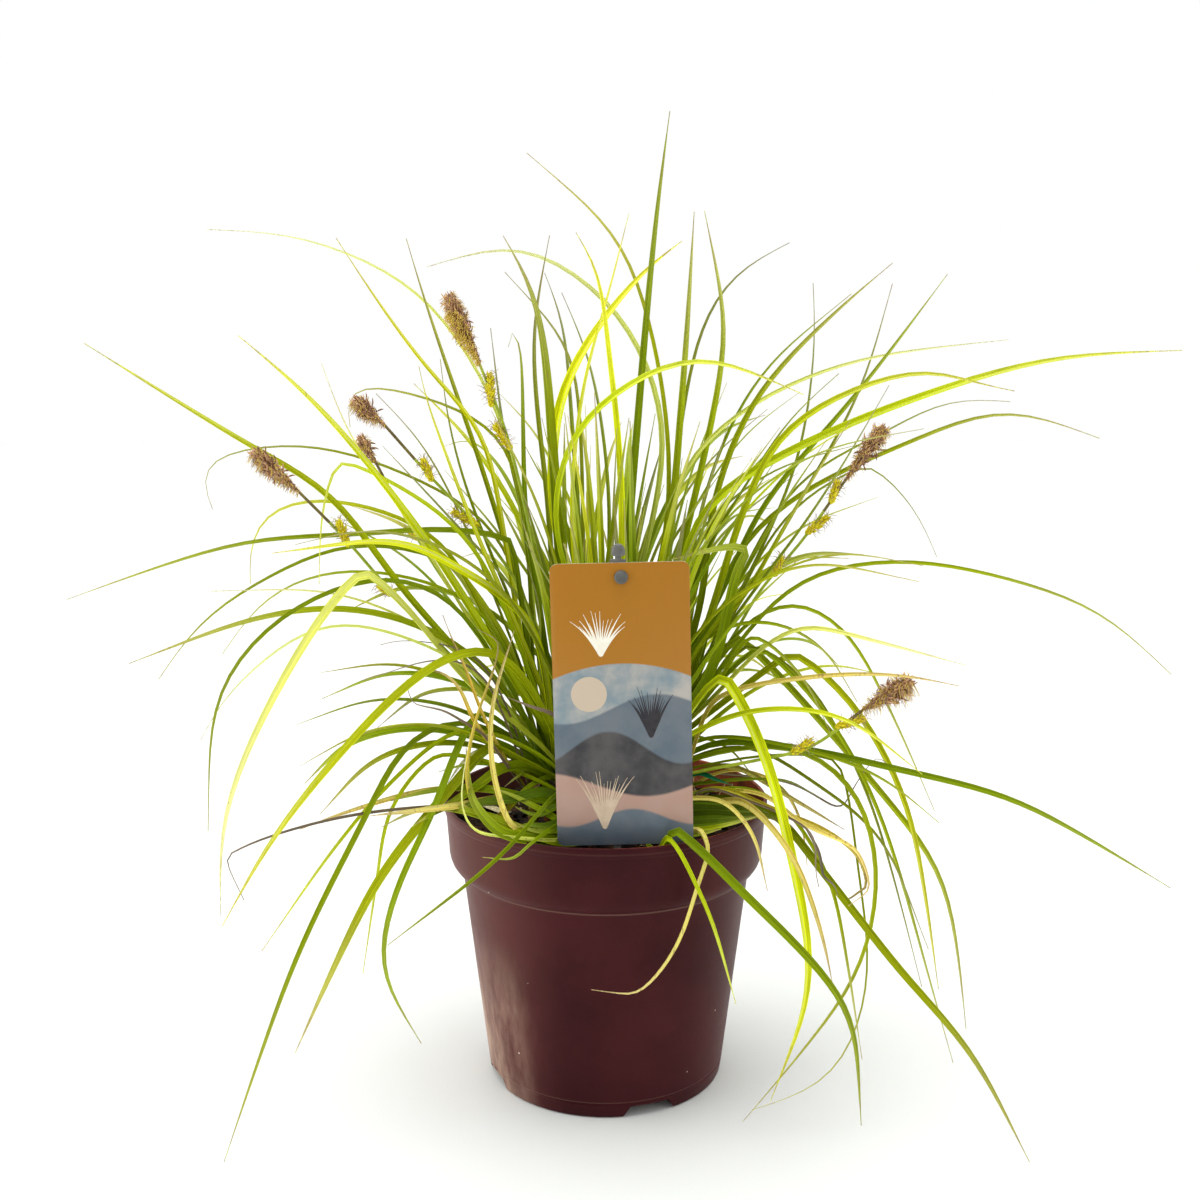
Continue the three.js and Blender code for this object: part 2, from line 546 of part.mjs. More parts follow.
/** The shortest way out of the pot's wall for a point of a strand, or null. */
function wayOutOfWall(point, strand) {
  const [x, y, z] = point;
  const radius = Math.hypot(x, y) || 1;
  const out = [x / radius, y / radius, 0];
  const top = POT.height + reachOut(strand, [0, 0, -1]) + BLADE.clear;
  if (z >= top) return null;
  const outer = z > POT.collarBottom - 3
    ? mix(POT.collarRadius, POT.rimRadius, clamp((z - POT.collarBottom) / 28, 0, 1))
    : mix(POT.footRadius, POT.shoulderRadius, clamp(z / POT.collarBottom, 0, 1));
  const outside = outer + reachOut(strand, out.map((v) => -v)) + BLADE.clear;
  const inside = outer - POT.wall - 0.4 - reachOut(strand, out) - BLADE.clear;
  if (radius > outside) return null;
  if (radius < inside && z > SOIL.edge - 6) return null;
  const [upward, outward, inward] = [top - z, outside - radius, radius - inside];
  if (upward <= outward && (upward <= inward || radius > outer)) return [[0, 0, 1], upward];
  if (outward <= inward || z < SOIL.edge) return [out, outward];
  return [out.map((v) => -v), inward];
}

/** The shortest way out of an upright box for a point of a strand, or null. */
function wayOutOfBox(point, strand, { x, half, front, back, bottom, top }, backOnly) {
  const ways = [
    [[-1, 0, 0], point[0] - (x - half)], [[1, 0, 0], x + half - point[0]],
    [[0, -1, 0], point[1] - front], [[0, 1, 0], back - point[1]],
    [[0, 0, -1], point[2] - bottom], [[0, 0, 1], top - point[2]],
  ].map(([way, depth]) => [way, depth + reachOut(strand, way.map((v) => -v)) + BLADE.clear]);
  const inside = ways.every(([way, depth]) => depth > 0 || (backOnly && way[1] < 0));
  if (!inside) return null;
  return backOnly ? ways[3] : ways.reduce((best, way) => (way[1] < best[1] ? way : best));
}

const CARD_BOX = {
  x: CARD.x, half: CARD.width / 2 + 1.2,
  front: CARD.front, back: CARD.front + CARD.thick + GAP + STAKE.thick + 0.6,
  bottom: CARD.z - CARD.height / 2 - 0.4, top: CARD.z + CARD.height / 2 + 0.8,
};

const STAKE_BOX = {
  x: STAKE.x, half: STAKE.width / 2, front: CARD.front - GAP - STAKE.headThick, back: CARD_BOX.back,
  bottom: SOIL.edge, top: STAKE.knobZ + STAKE.knobRadius,
};

/** Keeps a strand out of the pot, the soil, the label and the floor. */
function clearFixtures(strand) {
  for (const share of [0.25, 0.5, 0.75, 1]) {
    const point = add(strand.from, sub(strand.to, strand.from), share);
    const down = reachOut(strand, [0, 0, -1]) + BLADE.clear;
    if (point[2] < down) push(strand, share, [0, 0, 1], down - point[2]);
    const radius = Math.hypot(point[0], point[1]);
    const bed = soilTop(radius) + down;
    if (radius < POT.rimRadius - 6 && point[2] < bed) push(strand, share, [0, 0, 1], bed - point[2]);
    const ways = [
      wayOutOfWall(point, strand),
      wayOutOfBox(point, strand, CARD_BOX, strand.leaf.drawn),
      wayOutOfBox(point, strand, STAKE_BOX, strand.leaf.drawn),
    ];
    for (const way of ways) if (way) push(strand, share, way[0], way[1]);
  }
}

/** Bends the leaves a little at a time until they stand clear of each other and of the rest. */
function bendClear(leaves, fixed) {
  const rounds = 90;
  const strands = [...leaves.flatMap(leafStrands), ...fixed];
  let pairs = [];
  for (let round = 0; round < rounds; round += 1) {
    for (const leaf of leaves) leaf.frames = carriedFrames(leaf.stations, leaf.upperSide);
    strands.forEach(refresh);
    if (round % 6 === 0) pairs = nearPairs(strands, 16);
    for (const leaf of leaves) leaf.pushes = leaf.stations.map(() => [0, 0, 0]);
    for (const [a, b] of pairs) partStrands(a, b);
    for (const strand of strands) if (strand.leaf) clearFixtures(strand);
    for (const leaf of leaves) {
      leaf.stations = leaf.stations.map((station, i) => {
        const move = leaf.pushes[i];
        const size = length(move);
        const stride = size > 2 ? 2 / size : 1;
        return add(station, move, stride * 0.6);
      });
    }
  }
}

// ---------------------------------------------------------------- solids

/** A closed three.js geometry as a manifold solid. */
function solid(geometry) {
  const bare = geometry.clone();
  for (const name of Object.keys(bare.attributes)) if (name !== 'position') bare.deleteAttribute(name);
  const merged = mergeVertices(bare, 1e-4);
  return new wasm.Manifold(new wasm.Mesh({
    numProp: 3,
    vertProperties: Float32Array.from(merged.attributes.position.array),
    triVerts: Uint32Array.from(merged.index.array),
  }));
}

/** A geometry turned about X, so that what stood along Y stands along Z. */
const upright = (geometry) => geometry.rotateX(Math.PI / 2);

/** A solid turned about the pot's axis from an outline of [radius, height] points. */
function turned(outline, sides) {
  return solid(upright(new THREE.LatheGeometry(outline.map(([r, z]) => new THREE.Vector2(r, z)), sides)));
}

/** An upright prism or cone standing on the point x, y, z. */
function post(x, y, z, bottomRadius, topRadius, height, sides) {
  const geometry = upright(new THREE.CylinderGeometry(topRadius, bottomRadius, height, sides));
  return solid(geometry.translate(x, y, z + height / 2));
}

/** A box from its lowest corner and its size. */
function block(corner, size) {
  const geometry = new THREE.BoxGeometry(...size);
  return solid(geometry.translate(...corner.map((v, i) => v + size[i] / 2)));
}

/** A solid from closed rings of points with a point at each end. */
function ringSolid(start, rings, end) {
  const sides = rings[0].length;
  const points = [start, ...rings.flat(), end];
  const last = points.length - 1;
  const faces = [];
  for (let j = 0; j < sides; j += 1) {
    const next = (j + 1) % sides;
    faces.push([0, 1 + next, 1 + j]);
    for (let i = 0; i < rings.length - 1; i += 1) {
      const [low, high] = [1 + i * sides, 1 + (i + 1) * sides];
      faces.push([low + j, low + next, high + next], [low + j, high + next, high + j]);
    }
    const top = 1 + (rings.length - 1) * sides;
    faces.push([top + j, top + next, last]);
  }
  const geometry = new THREE.BufferGeometry();
  geometry.setAttribute('position', new THREE.Float32BufferAttribute(points.flat(), 3));
  geometry.setIndex(faces.flat());
  return solid(geometry);
}

/** Several solids fused into one. */
const fused = (solids) => solids.reduce((whole, piece) => whole.add(piece));

/** A leaf's blade: flat above, keeled below, and pointed. */
function bladeSolid(leaf) {
  const { stations, upperSide, width } = leaf;
  const shares = lengthShares(stations);
  const frames = carriedFrames(stations, upperSide);
  const rings = stations.slice(0, -1).map((station, i) => {
    const { across, normal } = frames[i];
    const half = bladeWidth(width, shares[i]) / 2;
    const keel = bladeKeel(width, shares[i]);
    return [add(station, across, -half), add(station, across, half), add(station, normal, -keel)];
  });
  const start = rings[0].reduce((sum, p) => add(sum, p, 1 / 3), [0, 0, 0]);
  return ringSolid(start, rings, stations.at(-1));
}

/** A three-cornered stem through some points, thinner towards its top. */
function stemSolid(points, bottomRadius, topRadius) {
  const shares = lengthShares(points);
  const frames = carriedFrames(points, [0, -1, 0]);
  const rings = points.map((point, i) => {
    const { across, normal } = frames[i];
    const radius = mix(bottomRadius, topRadius, shares[i]);
    return [330, 210, 90].map((angle) => add(
      add(point, across, radius * Math.cos(angle * DEGREE)), normal, radius * Math.sin(angle * DEGREE),
    ));
  });
  return ringSolid(points[0], rings, points.at(-1));
}

/** A spike or spikelet: a spindle whose scales stand out in a staggered pattern. */
function spindleSolid(foot, direction, radius, sides, rows) {
  const ahead = unit(direction);
  const across = unit(cross(ahead, [0.31, -0.9, 0.3]));
  const normal = cross(across, ahead);
  const tall = length(direction);
  const rings = [];
  for (let row = 0; row < rows; row += 1) {
    const share = (row + 0.5) / rows;
    const swell = Math.sin(Math.PI * Math.min(0.97, 0.08 + share * 0.86)) ** 0.7;
    rings.push(Array.from({ length: sides }, (_, j) => {
      const raised = (row + j) % 2 === 0;
      const angle = 2 * Math.PI * j / sides;
      const off = radius * swell * (raised ? 1 : 0.7);
      const along = tall * (share + (raised ? 0.3 : -0.1) / rows);
      const ring = add(add(foot, ahead, along), across, off * Math.cos(angle));
      return add(ring, normal, -off * Math.sin(angle));
    }));
  }
  return ringSolid(foot, rings, add(foot, direction));
}

/** A named mesh with its finish from a solid, which is given where it stands, and with its own origin. */
function mesh(name, body, finish, origin = [0, 0, 0]) {
  const { vertProperties, triVerts } = body.getMesh();
  const geometry = new THREE.BufferGeometry();
  geometry.setAttribute('position', new THREE.BufferAttribute(vertProperties, 3));
  geometry.setIndex(new THREE.BufferAttribute(triVerts, 1));
  geometry.translate(-origin[0], -origin[1], -origin[2]);
  geometry.computeVertexNormals();
  const made = new THREE.Mesh(geometry, new THREE.MeshStandardMaterial({ ...finish, metalness: 0 }));
  made.name = name;
  made.position.set(...origin);
  return made;
}

/** A group of meshes and groups. */
function group(...children) {
  const made = new THREE.Group();
  made.add(...children);
  return made;
}

// ---------------------------------------------------------------- pot, soil and label

/** Prism of a notch, or of the block round it when grown. */
function notchPrism(angle, grow, reach) {
  const [bottom, top] = [NOTCH.bottomWidth / 2 + grow, NOTCH.topWidth / 2 + grow];
  const shape = new THREE.Shape();
  shape.moveTo(-bottom, -1);
  shape.lineTo(bottom, -1);
  shape.lineTo(top, NOTCH.height + grow);
  shape.lineTo(-top, NOTCH.height + grow);
  const geometry = new THREE.ExtrudeGeometry(shape, { depth: reach, bevelEnabled: false });
  geometry.rotateX(Math.PI / 2).translate(0, NOTCH.innerRadius - grow + reach, 0);
  return solid(geometry.rotateZ(angle * DEGREE - Math.PI / 2));
}

const notchAngles = Array.from({ length: NOTCH.count }, (_, i) => NOTCH.firstAngle + i * 360 / NOTCH.count);

function potSolid() {
  const { height, rimRadius, collarRadius, collarBottom } = POT;
  const { shoulderRadius, footRadius, wall, floor, sides } = POT;
  const outside = [
    [0, 0], [footRadius - 0.8, 0], [footRadius, 0.8], [shoulderRadius, collarBottom - 1.4],
    [shoulderRadius + 1.8, collarBottom], [collarRadius - 0.9, collarBottom + 3],
    [collarRadius, collarBottom + 7], [rimRadius, height - 1.4], [rimRadius - 0.7, height],
  ];
  const inside = [
    [0, floor], [footRadius - wall, floor], [shoulderRadius - wall, collarBottom - 2],
    [collarRadius - wall - 0.6, collarBottom + 4], [rimRadius - wall, height + 1],
  ];
  const body = turned([...outside, [0, height]], sides);
  const hollow = turned([...inside, [0, height + 1]], sides);
  let pot = body.subtract(hollow);
  for (const angle of notchAngles) {
    const housing = notchPrism(angle, wall, 40).intersect(body);
    pot = pot.add(housing).subtract(notchPrism(angle, 0, 40));
  }
  return pot;
}

function soilSolid(holes) {
  const { collarRadius, collarBottom, shoulderRadius, footRadius, wall, floor } = POT;
  const slack = wall + GAP;
  const edgeRadius = collarRadius - slack + 0.45;
  const outline = [
    [0, floor + GAP], [footRadius - slack - 0.2, floor + GAP], [shoulderRadius - slack, collarBottom - 2],
    [collarRadius - slack - 0.6, collarBottom + 4.4], [edgeRadius, SOIL.edge],
    [SOIL.crownRadius, SOIL.edge], [0, SOIL.crown],
  ];
  let soil = turned(outline, SOIL.sides);
  for (const angle of notchAngles) soil = soil.subtract(notchPrism(angle, POT.wall + GAP, 40));
  return soil.subtract(fused(holes));
}

/** The label's card, with the hole that its stake's peg goes through. */
function cardSolid() {
  const { width, height, corner, thick } = CARD;
  const [x, y] = [width / 2, height / 2];
  const shape = new THREE.Shape();
  shape.moveTo(-x + corner, -y);
  shape.lineTo(x - corner, -y);
  shape.absarc(x - corner, -y + corner, corner, -Math.PI / 2, 0);
  shape.absarc(x - corner, y - corner, corner, 0, Math.PI / 2);
  shape.absarc(-x + corner, y - corner, corner, Math.PI / 2, Math.PI);
  shape.absarc(-x + corner, -y + corner, corner, Math.PI, Math.PI * 1.5);
  const geometry = new THREE.ExtrudeGeometry(shape, { depth: thick, bevelEnabled: false, curveSegments: 4 });
  geometry.rotateX(Math.PI / 2).rotateY(-CARD.roll * DEGREE).translate(CARD.x, CARD.front + thick, CARD.z);
  return solid(geometry).subtract(pegPost(STAKE.pegRadius + GAP, CARD.front - 2, 6));
}

/** A short round post along Y at the peg's place. */
function pegPost(radius, from, depth) {
  const geometry = new THREE.CylinderGeometry(radius, radius, depth, 12);
  return solid(geometry.translate(STAKE.pegX, from + depth / 2, STAKE.pegZ));
}

/** The stake: a flat bar in the soil, a shoulder, a knob, and the peg that holds the card. */
function stakeSolid() {
  const { x, width, thick, bottom, shoulder, neckWidth } = STAKE;
  const { knobRadius, knobZ, pegRadius, headRadius, headThick } = STAKE;
  const front = CARD.front + CARD.thick + GAP;
  const point = 14;
  const outline = new THREE.Shape();
  outline.moveTo(0, bottom);
  outline.lineTo(width / 2, bottom + point);
  outline.lineTo(width / 2, shoulder);
  outline.lineTo(-width / 2, shoulder);
  outline.lineTo(-width / 2, bottom + point);
  const geometry = new THREE.ExtrudeGeometry(outline, { depth: thick, bevelEnabled: false });
  geometry.rotateX(Math.PI / 2).translate(x, front + thick, 0);
  const neck = block([x - neckWidth / 2, front, shoulder - 1], [neckWidth, thick, 4]);
  const knobShape = new THREE.CylinderGeometry(knobRadius, knobRadius, thick + 1.2, 12);
  const knob = solid(knobShape.translate(x, front + thick / 2, knobZ));
  const peg = pegPost(pegRadius, CARD.front - GAP - 0.5, CARD.thick + GAP * 2 + 1.5);
  const head = pegPost(headRadius, CARD.front - GAP - headThick, headThick);
  return fused([solid(geometry), neck, knob, peg, head]);
}

/** Plain hole in the soil for a sheath or stem. */
function soilHole(x, y, radius, sides) {
  const top = soilTop(Math.hypot(x, y));
  return post(x, y, top - HOLE.depth, radius + HOLE.clearance, radius + HOLE.clearance, 30, sides);
}

/** Slot in the soil for the stake. */
function stakeSlot() {
  const front = CARD.front + CARD.thick + GAP;
  const corner = [STAKE.x - STAKE.width / 2 - GAP, front - GAP, STAKE.bottom - GAP];
  return block(corner, [STAKE.width + 2 * GAP, STAKE.thick + 2 * GAP, 60]);
}

// ---------------------------------------------------------------- plant

/** The sheath that a tiller's leaves come out of. */
function sheathSolid(x, y, scale) {
  const top = soilTop(Math.hypot(x, y));
  const height = SHEATH.sunk + SHEATH.rise * scale;
  const { baseRadius, topRadius, sunk, sides } = SHEATH;
  return post(x, y, top - sunk, baseRadius * scale, topRadius * scale, height, sides);
}

/** A sheath as a fixed strand, for leaves of other tillers to stay clear of. */
function sheathStrand(node, x, y, scale) {
  const top = soilTop(Math.hypot(x, y));
  return roundStrand(node, [x, y, top], [x, y, top + SHEATH.rise * scale], SHEATH.baseRadius * scale);
}

const number = (i) => String(i + 1).padStart(2, '0');

/** Path of a flower stem, from under the soil to its spike's foot. */
function stemPath({ place: [x, y], path }) {
  const top = soilTop(Math.hypot(x, y));
  const above = [x, y, top + 14];
  return [[x, y, top - SHEATH.sunk + 1], ...stationsThrough([above, ...path], 40)];
}

/** A point and direction at a share of a path. */
function alongPath(points, share) {
  const shares = lengthShares(points);
  const i = Math.max(1, shares.findIndex((v) => v >= share));
  const local = (share - shares[i - 1]) / (shares[i] - shares[i - 1]);
  const step = sub(points[i], points[i - 1]);
  return { point: add(points[i - 1], step, local), ahead: unit(step) };
}

/** Side spikelets of a flower stem as foot and direction, leaning off it to one side and the other. */
function sideSpikelets(stem, points) {
  return stem.side.map(([share, tall], k) => {
    const { point, ahead } = alongPath(points, share);
    const side = unit(cross(ahead, [0, 1, 0]));
    const lean = add(ahead, side, (k % 2 ? -1 : 1) * 0.34);
    return { foot: point, direction: unit(lean).map((v) => v * tall), radius: 1.3 + tall * 0.075 };
  });
}

function flowerStemSolid(points, spikelets) {
  const parts = [stemSolid(points, STEM.radius, STEM.topRadius)];
  for (const { foot, direction, radius } of spikelets) {
    parts.push(spindleSolid(foot, direction, radius, 6, 4));
  }
  return fused(parts);
}

/** The whole plant: every leaf bent clear, then each tiller, bunch and flower stem as its own node. */
function growPlant() {
  const draw = seeded(16);
  const tillers = placeTillers();
  shareOutSetLeaves(tillers);
  const leaves = [];
  const fixed = [];
  const groups = [];
  tillers.forEach((tiller, i) => {
    const node = `leaf_tuft_${number(i)}`;
    const grown = growLeaves(tiller, CLUMP.leavesPerTiller, draw).map((leaf) => ({ ...leaf, node }));
    leaves.push(...grown);
    fixed.push(sheathStrand(node, tiller.x, tiller.y, 1));
    groups.push({ node, x: tiller.x, y: tiller.y, scale: 1, leaves: grown, finish: FINISH.leaf });
  });
  DRY_BUNCHES.forEach(({ place: [x, y], leaves: dry }, i) => {
    const node = `dry_leaves_${number(i)}`;
    const bunch = { x, y, leaves: dry.map(([width, ...points]) => ({ width, points })) };
    const grown = growLeaves(bunch, 0, draw).map((leaf) => ({ ...leaf, node }));
    leaves.push(...grown);
    fixed.push(sheathStrand(node, x, y, 0.75));
    groups.push({ node, x, y, scale: 0.75, leaves: grown, finish: FINISH.straw });
  });
  const stems = FLOWER_STEMS.map((stem, i) => {
    const points = stemPath(stem);
    const spikelets = sideSpikelets(stem, points);
    const node = `flower_stem_${number(i)}`;
    points.slice(1).forEach((p, k) => fixed.push(roundStrand(node, points[k], p, STEM.radius)));
    for (const { foot, direction, radius } of spikelets) {
      fixed.push(roundStrand(node, foot, add(foot, direction), radius));
    }
    const foot = add(points.at(-1), unit(stem.head), SPIKE_GAP);
    fixed.push(roundStrand(`flower_spike_${number(i)}`, foot, add(foot, stem.head), stem.radius));
    return { node, points, spikelets, foot, head: stem.head, radius: stem.radius };
  });
  bendClear(leaves, fixed);
  return { groups, stems };
}

// ---------------------------------------------------------------- the part

const { groups, stems } = growPlant();
const holes = [
  ...groups.map(({ x, y, scale }) => soilHole(x, y, SHEATH.baseRadius * scale, SHEATH.sides)),
  ...FLOWER_STEMS.map(({ place: [x, y] }) => soilHole(x, y, STEM.radius, 6)),
  stakeSlot(),
];

const onSoil = (x, y) => [x, y, soilTop(Math.hypot(x, y))];

const tufts = groups.map(({ node, x, y, scale, leaves, finish }) => {
  const body = fused([sheathSolid(x, y, scale), ...leaves.map(bladeSolid)]);
  return mesh(node, body, finish, onSoil(x, y));
});
const flowers = stems.map(({ node, points, spikelets, foot, head, radius }, i) => group(
  mesh(node, flowerStemSolid(points, spikelets), FINISH.stem, onSoil(points[0][0], points[0][1])),
  mesh(`flower_spike_${number(i)}`, spindleSolid(foot, head, radius, 8, 7), FINISH.spike, foot),
));
const label = group(
  mesh('label_card', cardSolid(), FINISH.card, [CARD.x, CARD.front, CARD.z]),
  mesh('label_stake', stakeSolid(), FINISH.stake, [STAKE.x, CARD.front, STAKE.bottom]),
);
const filledPot = group(
  mesh('pot', potSolid(), FINISH.pot),
  mesh('soil', soilSolid(holes), FINISH.soil, [0, 0, POT.floor + GAP]),
);

const part = group(filledPot, label, group(...tufts), group(...flowers));
part.name = 'golden_sedge_in_pot';

export default part;
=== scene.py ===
"""A golden sedge in a round nursery pot with its plant label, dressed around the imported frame.

The tables and sizes are millimetres, +Z up, from the middle of the pot's underside; the label faces -Y.
Every mesh is made in metres, where it stands.
"""

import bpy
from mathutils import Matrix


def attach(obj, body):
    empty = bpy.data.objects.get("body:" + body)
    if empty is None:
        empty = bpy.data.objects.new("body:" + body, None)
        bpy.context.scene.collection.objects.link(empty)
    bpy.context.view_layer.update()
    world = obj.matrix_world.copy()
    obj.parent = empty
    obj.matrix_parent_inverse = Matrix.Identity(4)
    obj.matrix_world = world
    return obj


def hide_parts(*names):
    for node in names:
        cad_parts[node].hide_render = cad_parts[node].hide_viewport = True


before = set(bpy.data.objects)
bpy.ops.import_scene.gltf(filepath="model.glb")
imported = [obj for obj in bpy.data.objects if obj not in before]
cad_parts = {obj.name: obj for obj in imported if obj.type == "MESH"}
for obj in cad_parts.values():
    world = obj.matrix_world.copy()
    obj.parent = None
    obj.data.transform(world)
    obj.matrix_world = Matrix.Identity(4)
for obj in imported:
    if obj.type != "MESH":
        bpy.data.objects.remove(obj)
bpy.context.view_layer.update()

import logging
import math
from collections.abc import Callable, Iterable, Sequence
from dataclasses import dataclass, field
from enum import Enum, IntEnum

import bmesh
import bpy
import numpy as np
from mathutils import Matrix, Vector
from mathutils import noise as field_noise

LOG = logging.getLogger("sedge")
MM = 0.001
DEGREE = math.pi / 180
BODY = "root"

Point = tuple[float, float, float]
Colour = tuple[float, float, float, float]
BMesh = bmesh.types.BMesh
Verts = Sequence[bmesh.types.BMVert]
Material = bpy.types.Material


def mix(low: float, high: float, share: float) -> float:
    """The value at a share of the way from low to high."""
    return low + (high - low) * share


def clamp(value: float, low: float, high: float) -> float:
    """The value kept between low and high."""
    return min(high, max(low, value))


def shade(*channels: int) -> Colour:
    """A colour as seen on a screen, 0 to 255 each, as the shaders want it."""
    shares = [channel / 255 for channel in channels]
    return (*(s / 12.92 if s <= 0.04045 else ((s + 0.055) / 1.055) ** 2.4 for s in shares), 1.0)


def step_between(stops: Sequence[tuple[float, Colour]], share: float) -> Colour:
    """The colour at a share of the way along some stops.

    Args:
        stops: the share and the colour of each stop, in order.
        share: where the colour is wanted.

    Returns:
        The colour, even between the stops on both sides.
    """
    for (low, first), (high, second) in zip(stops[:-1], stops[1:]):
        if share <= high:
            break
    local = clamp((share - low) / (high - low), 0.0, 1.0)
    return tuple(mix(a, b, local) for a, b in zip(first, second))


class Draw:
    """A seeded draw of numbers from 0 to 1, the same on every run."""

    WHOLE = 0xFFFFFFFF

    def __init__(self, seed: int) -> None:
        """Start the draw from its seed."""
        self.state = seed & self.WHOLE

    def __call__(self) -> float:
        """Draw the next number.

        Returns:
            The number.
        """
        self.state = (self.state + 0x6D2B79F5) & self.WHOLE
        value = ((self.state ^ (self.state >> 15)) * (1 | self.state)) & self.WHOLE
        value = ((value + (((value ^ (value >> 7)) * (61 | value)) & self.WHOLE)) & self.WHOLE) ^ value
        return ((value ^ (value >> 14)) & self.WHOLE) / (self.WHOLE + 1)

    def between(self, low: float, high: float) -> float:
        """A number from low to high."""
        return mix(low, high, self())


# ---- colours of the leaves


class Tint(Enum):
    """How a leaf is coloured at its foot, low down, at its middle and at its tip."""

    GREEN = ((56, 74, 2), (102, 124, 2), (124, 142, 4), (168, 176, 70))
    OLIVE = ((68, 82, 4), (120, 136, 4), (148, 158, 8), (182, 178, 100))
    LIME = ((84, 102, 4), (148, 164, 4), (180, 190, 8), (222, 222, 84))
    GOLD = ((108, 124, 4), (176, 185, 4), (211, 216, 6), (226, 222, 60))
    PALE = ((106, 122, 14), (172, 182, 48), (214, 218, 106), (224, 222, 176))
    GREY = ((70, 84, 8), (114, 128, 12), (136, 146, 30), (158, 158, 108))
    STRAW = ((142, 134, 42), (206, 188, 84), (222, 202, 102), (204, 178, 128))
    DEAD = ((122, 112, 62), (126, 112, 84), (108, 96, 80), (150, 136, 122))
    AMBER = ((104, 122, 12), (184, 172, 28), (212, 178, 62), (150, 132, 110))
    DEEP = ((44, 60, 4), (66, 86, 6), (84, 104, 10), (120, 134, 40))
    TEAL = ((10, 84, 40), (4, 100, 60), (6, 96, 62), (60, 120, 80))
    CREAM = ((206, 196, 140), (226, 218, 176), (232, 226, 196), (214, 204, 170))

    def __init__(self, *colours: tuple[int, int, int]) -> None:
        """Give each of the four colours its place along the leaf."""
        self.stops = [(share, shade(*colour)) for share, colour in zip((0.0, 0.16, 0.68, 1.0), colours)]

    def at(self, share: float) -> Colour:
        """The colour at a share of the leaf's length."""
        return step_between(self.stops, share)


# ---- leaves with a place of their own


@dataclass(frozen=True)
class LeafRow:
    """A leaf's colouring, its width and the points that it passes, from its shoulder to its tip."""

    tint: Tint
    width: float
    points: tuple[Point, ...]

    @classmethod
    def read(cls, tint: str, width: str, *points: str) -> "LeafRow":
        """Read a leaf from its words."""
        passed = tuple(tuple(map(float, point.split(","))) for point in points)
        return cls(Tint[tint.upper()], float(width), passed)


def leaf_rows(table: str) -> tuple[LeafRow, ...]:
    """Read a table of leaves.

    Args:
        table: for each leaf its tint, its width and its points.

    Returns:
        A row for each leaf.
    """
    rows: list[list[str]] = []
    for word in table.split():
        if word.isalpha():
            rows.append([])
        rows[-1].append(word)
    return tuple(LeafRow.read(*row) for row in rows)


LEFT_LEAVES = leaf_rows("""
    pale 2.2 -46,21,289 -71,27,330 -88,30,345 -132,35,363 -173,40,366
    gold 3.2 -52,0,282 -73,0,306 -94,0,335 -110,0,360
    olive 3.4 -54,12,269 -64,15,298 -77,18,337 -84,20,361
    lime 4.2 -86,-13,219 -113,-18,258 -143,-22,277 -181,-27,302 -205,-30,318
    lime 5.4 -72,-21,237 -102,-30,280 -120,-35,301 -142,-40,321
    pale 2.2 -85,-14,254 -104,-17,281 -114,-20,310
    olive 2.4 -45,13,279 -88,17,298 -111,19,300 -114,19,296 -110,20,282
    gold 3.8 -52,-12,238 -67,-17,279 -74,-19,301 -75,-20,309
    grey 1.8 -66,21,250 -81,26,276 -100,30,296
    green 4.2 -40,-8,237 -63,-9,245 -102,-12,239 -147,-15,238 -222,-20,214
    lime 3 -70,0,236 -99,0,250 -129,0,253 -147,0,245 -152,0,225 -151,0,217
    grey 2 -46,18,238 -85,24,261 -134,31,274 -180,37,265 -183,38,256 -176,40,244
    gold 6 -31,-18,205 -59,-27,229 -82,-33,240 -131,-45,237
    lime 3 -56,-15,238 -84,-20,261 -107,-23,270 -114,-25,256 -116,-30,222
    pale 1.8 -65,-19,194 -84,-24,208 -112,-30,219 -157,-40,221
    green 2.6 -45,-4,215 -74,-5,231 -108,-6,235 -171,-9,202 -189,-10,178
    olive 4.8 -56,-21,191 -84,-30,208 -110,-37,214 -140,-46,211 -185,-60,196
    pale 2.2 -64,-29,192 -103,-44,209 -120,-50,206 -149,-64,182 -156,-70,168
    green 3 -67,-32,220 -90,-39,226 -126,-51,214 -150,-63,186 -152,-80,135
    olive 2.2 -57,-9,212 -110,-14,225 -141,-17,214 -159,-20,191
    pale 6.2 -56,-23,181 -75,-32,207 -96,-42,229 -130,-62,182 -147,-79,137 -146,-90,105
    lime 5.4 -43,-31,195 -63,-39,195 -85,-52,180 -127,-83,133 -143,-100,105
    lime 2.8 -57,-23,161 -84,-36,145 -107,-49,121 -136,-70,82
    green 4 -57,-14,162 -81,-30,158 -96,-52,132 -120,-74,85 -150,-88,2
    olive 6.6 -45,-16,153 -64,-38,138 -90,-58,109 -123,-76,42
    green 5.2 -53,-20,165 -70,-52,132 -84,-68,103 -88,-76,77 -72,-84,50
    lime 2.6 -69,-25,149 -89,-36,129 -93,-45,106 -98,-60,68
    green 2.8 -20,-52,141 -34,-66,128 -46,-74,118 -82,-96,96
    green 3 -20,-52,127 -28,-69,126.5 -36,-73,122 -49,-62,118
    green 2.2 -51,4,235 -60,8,259 -67,12,286 -70,14,311
""")

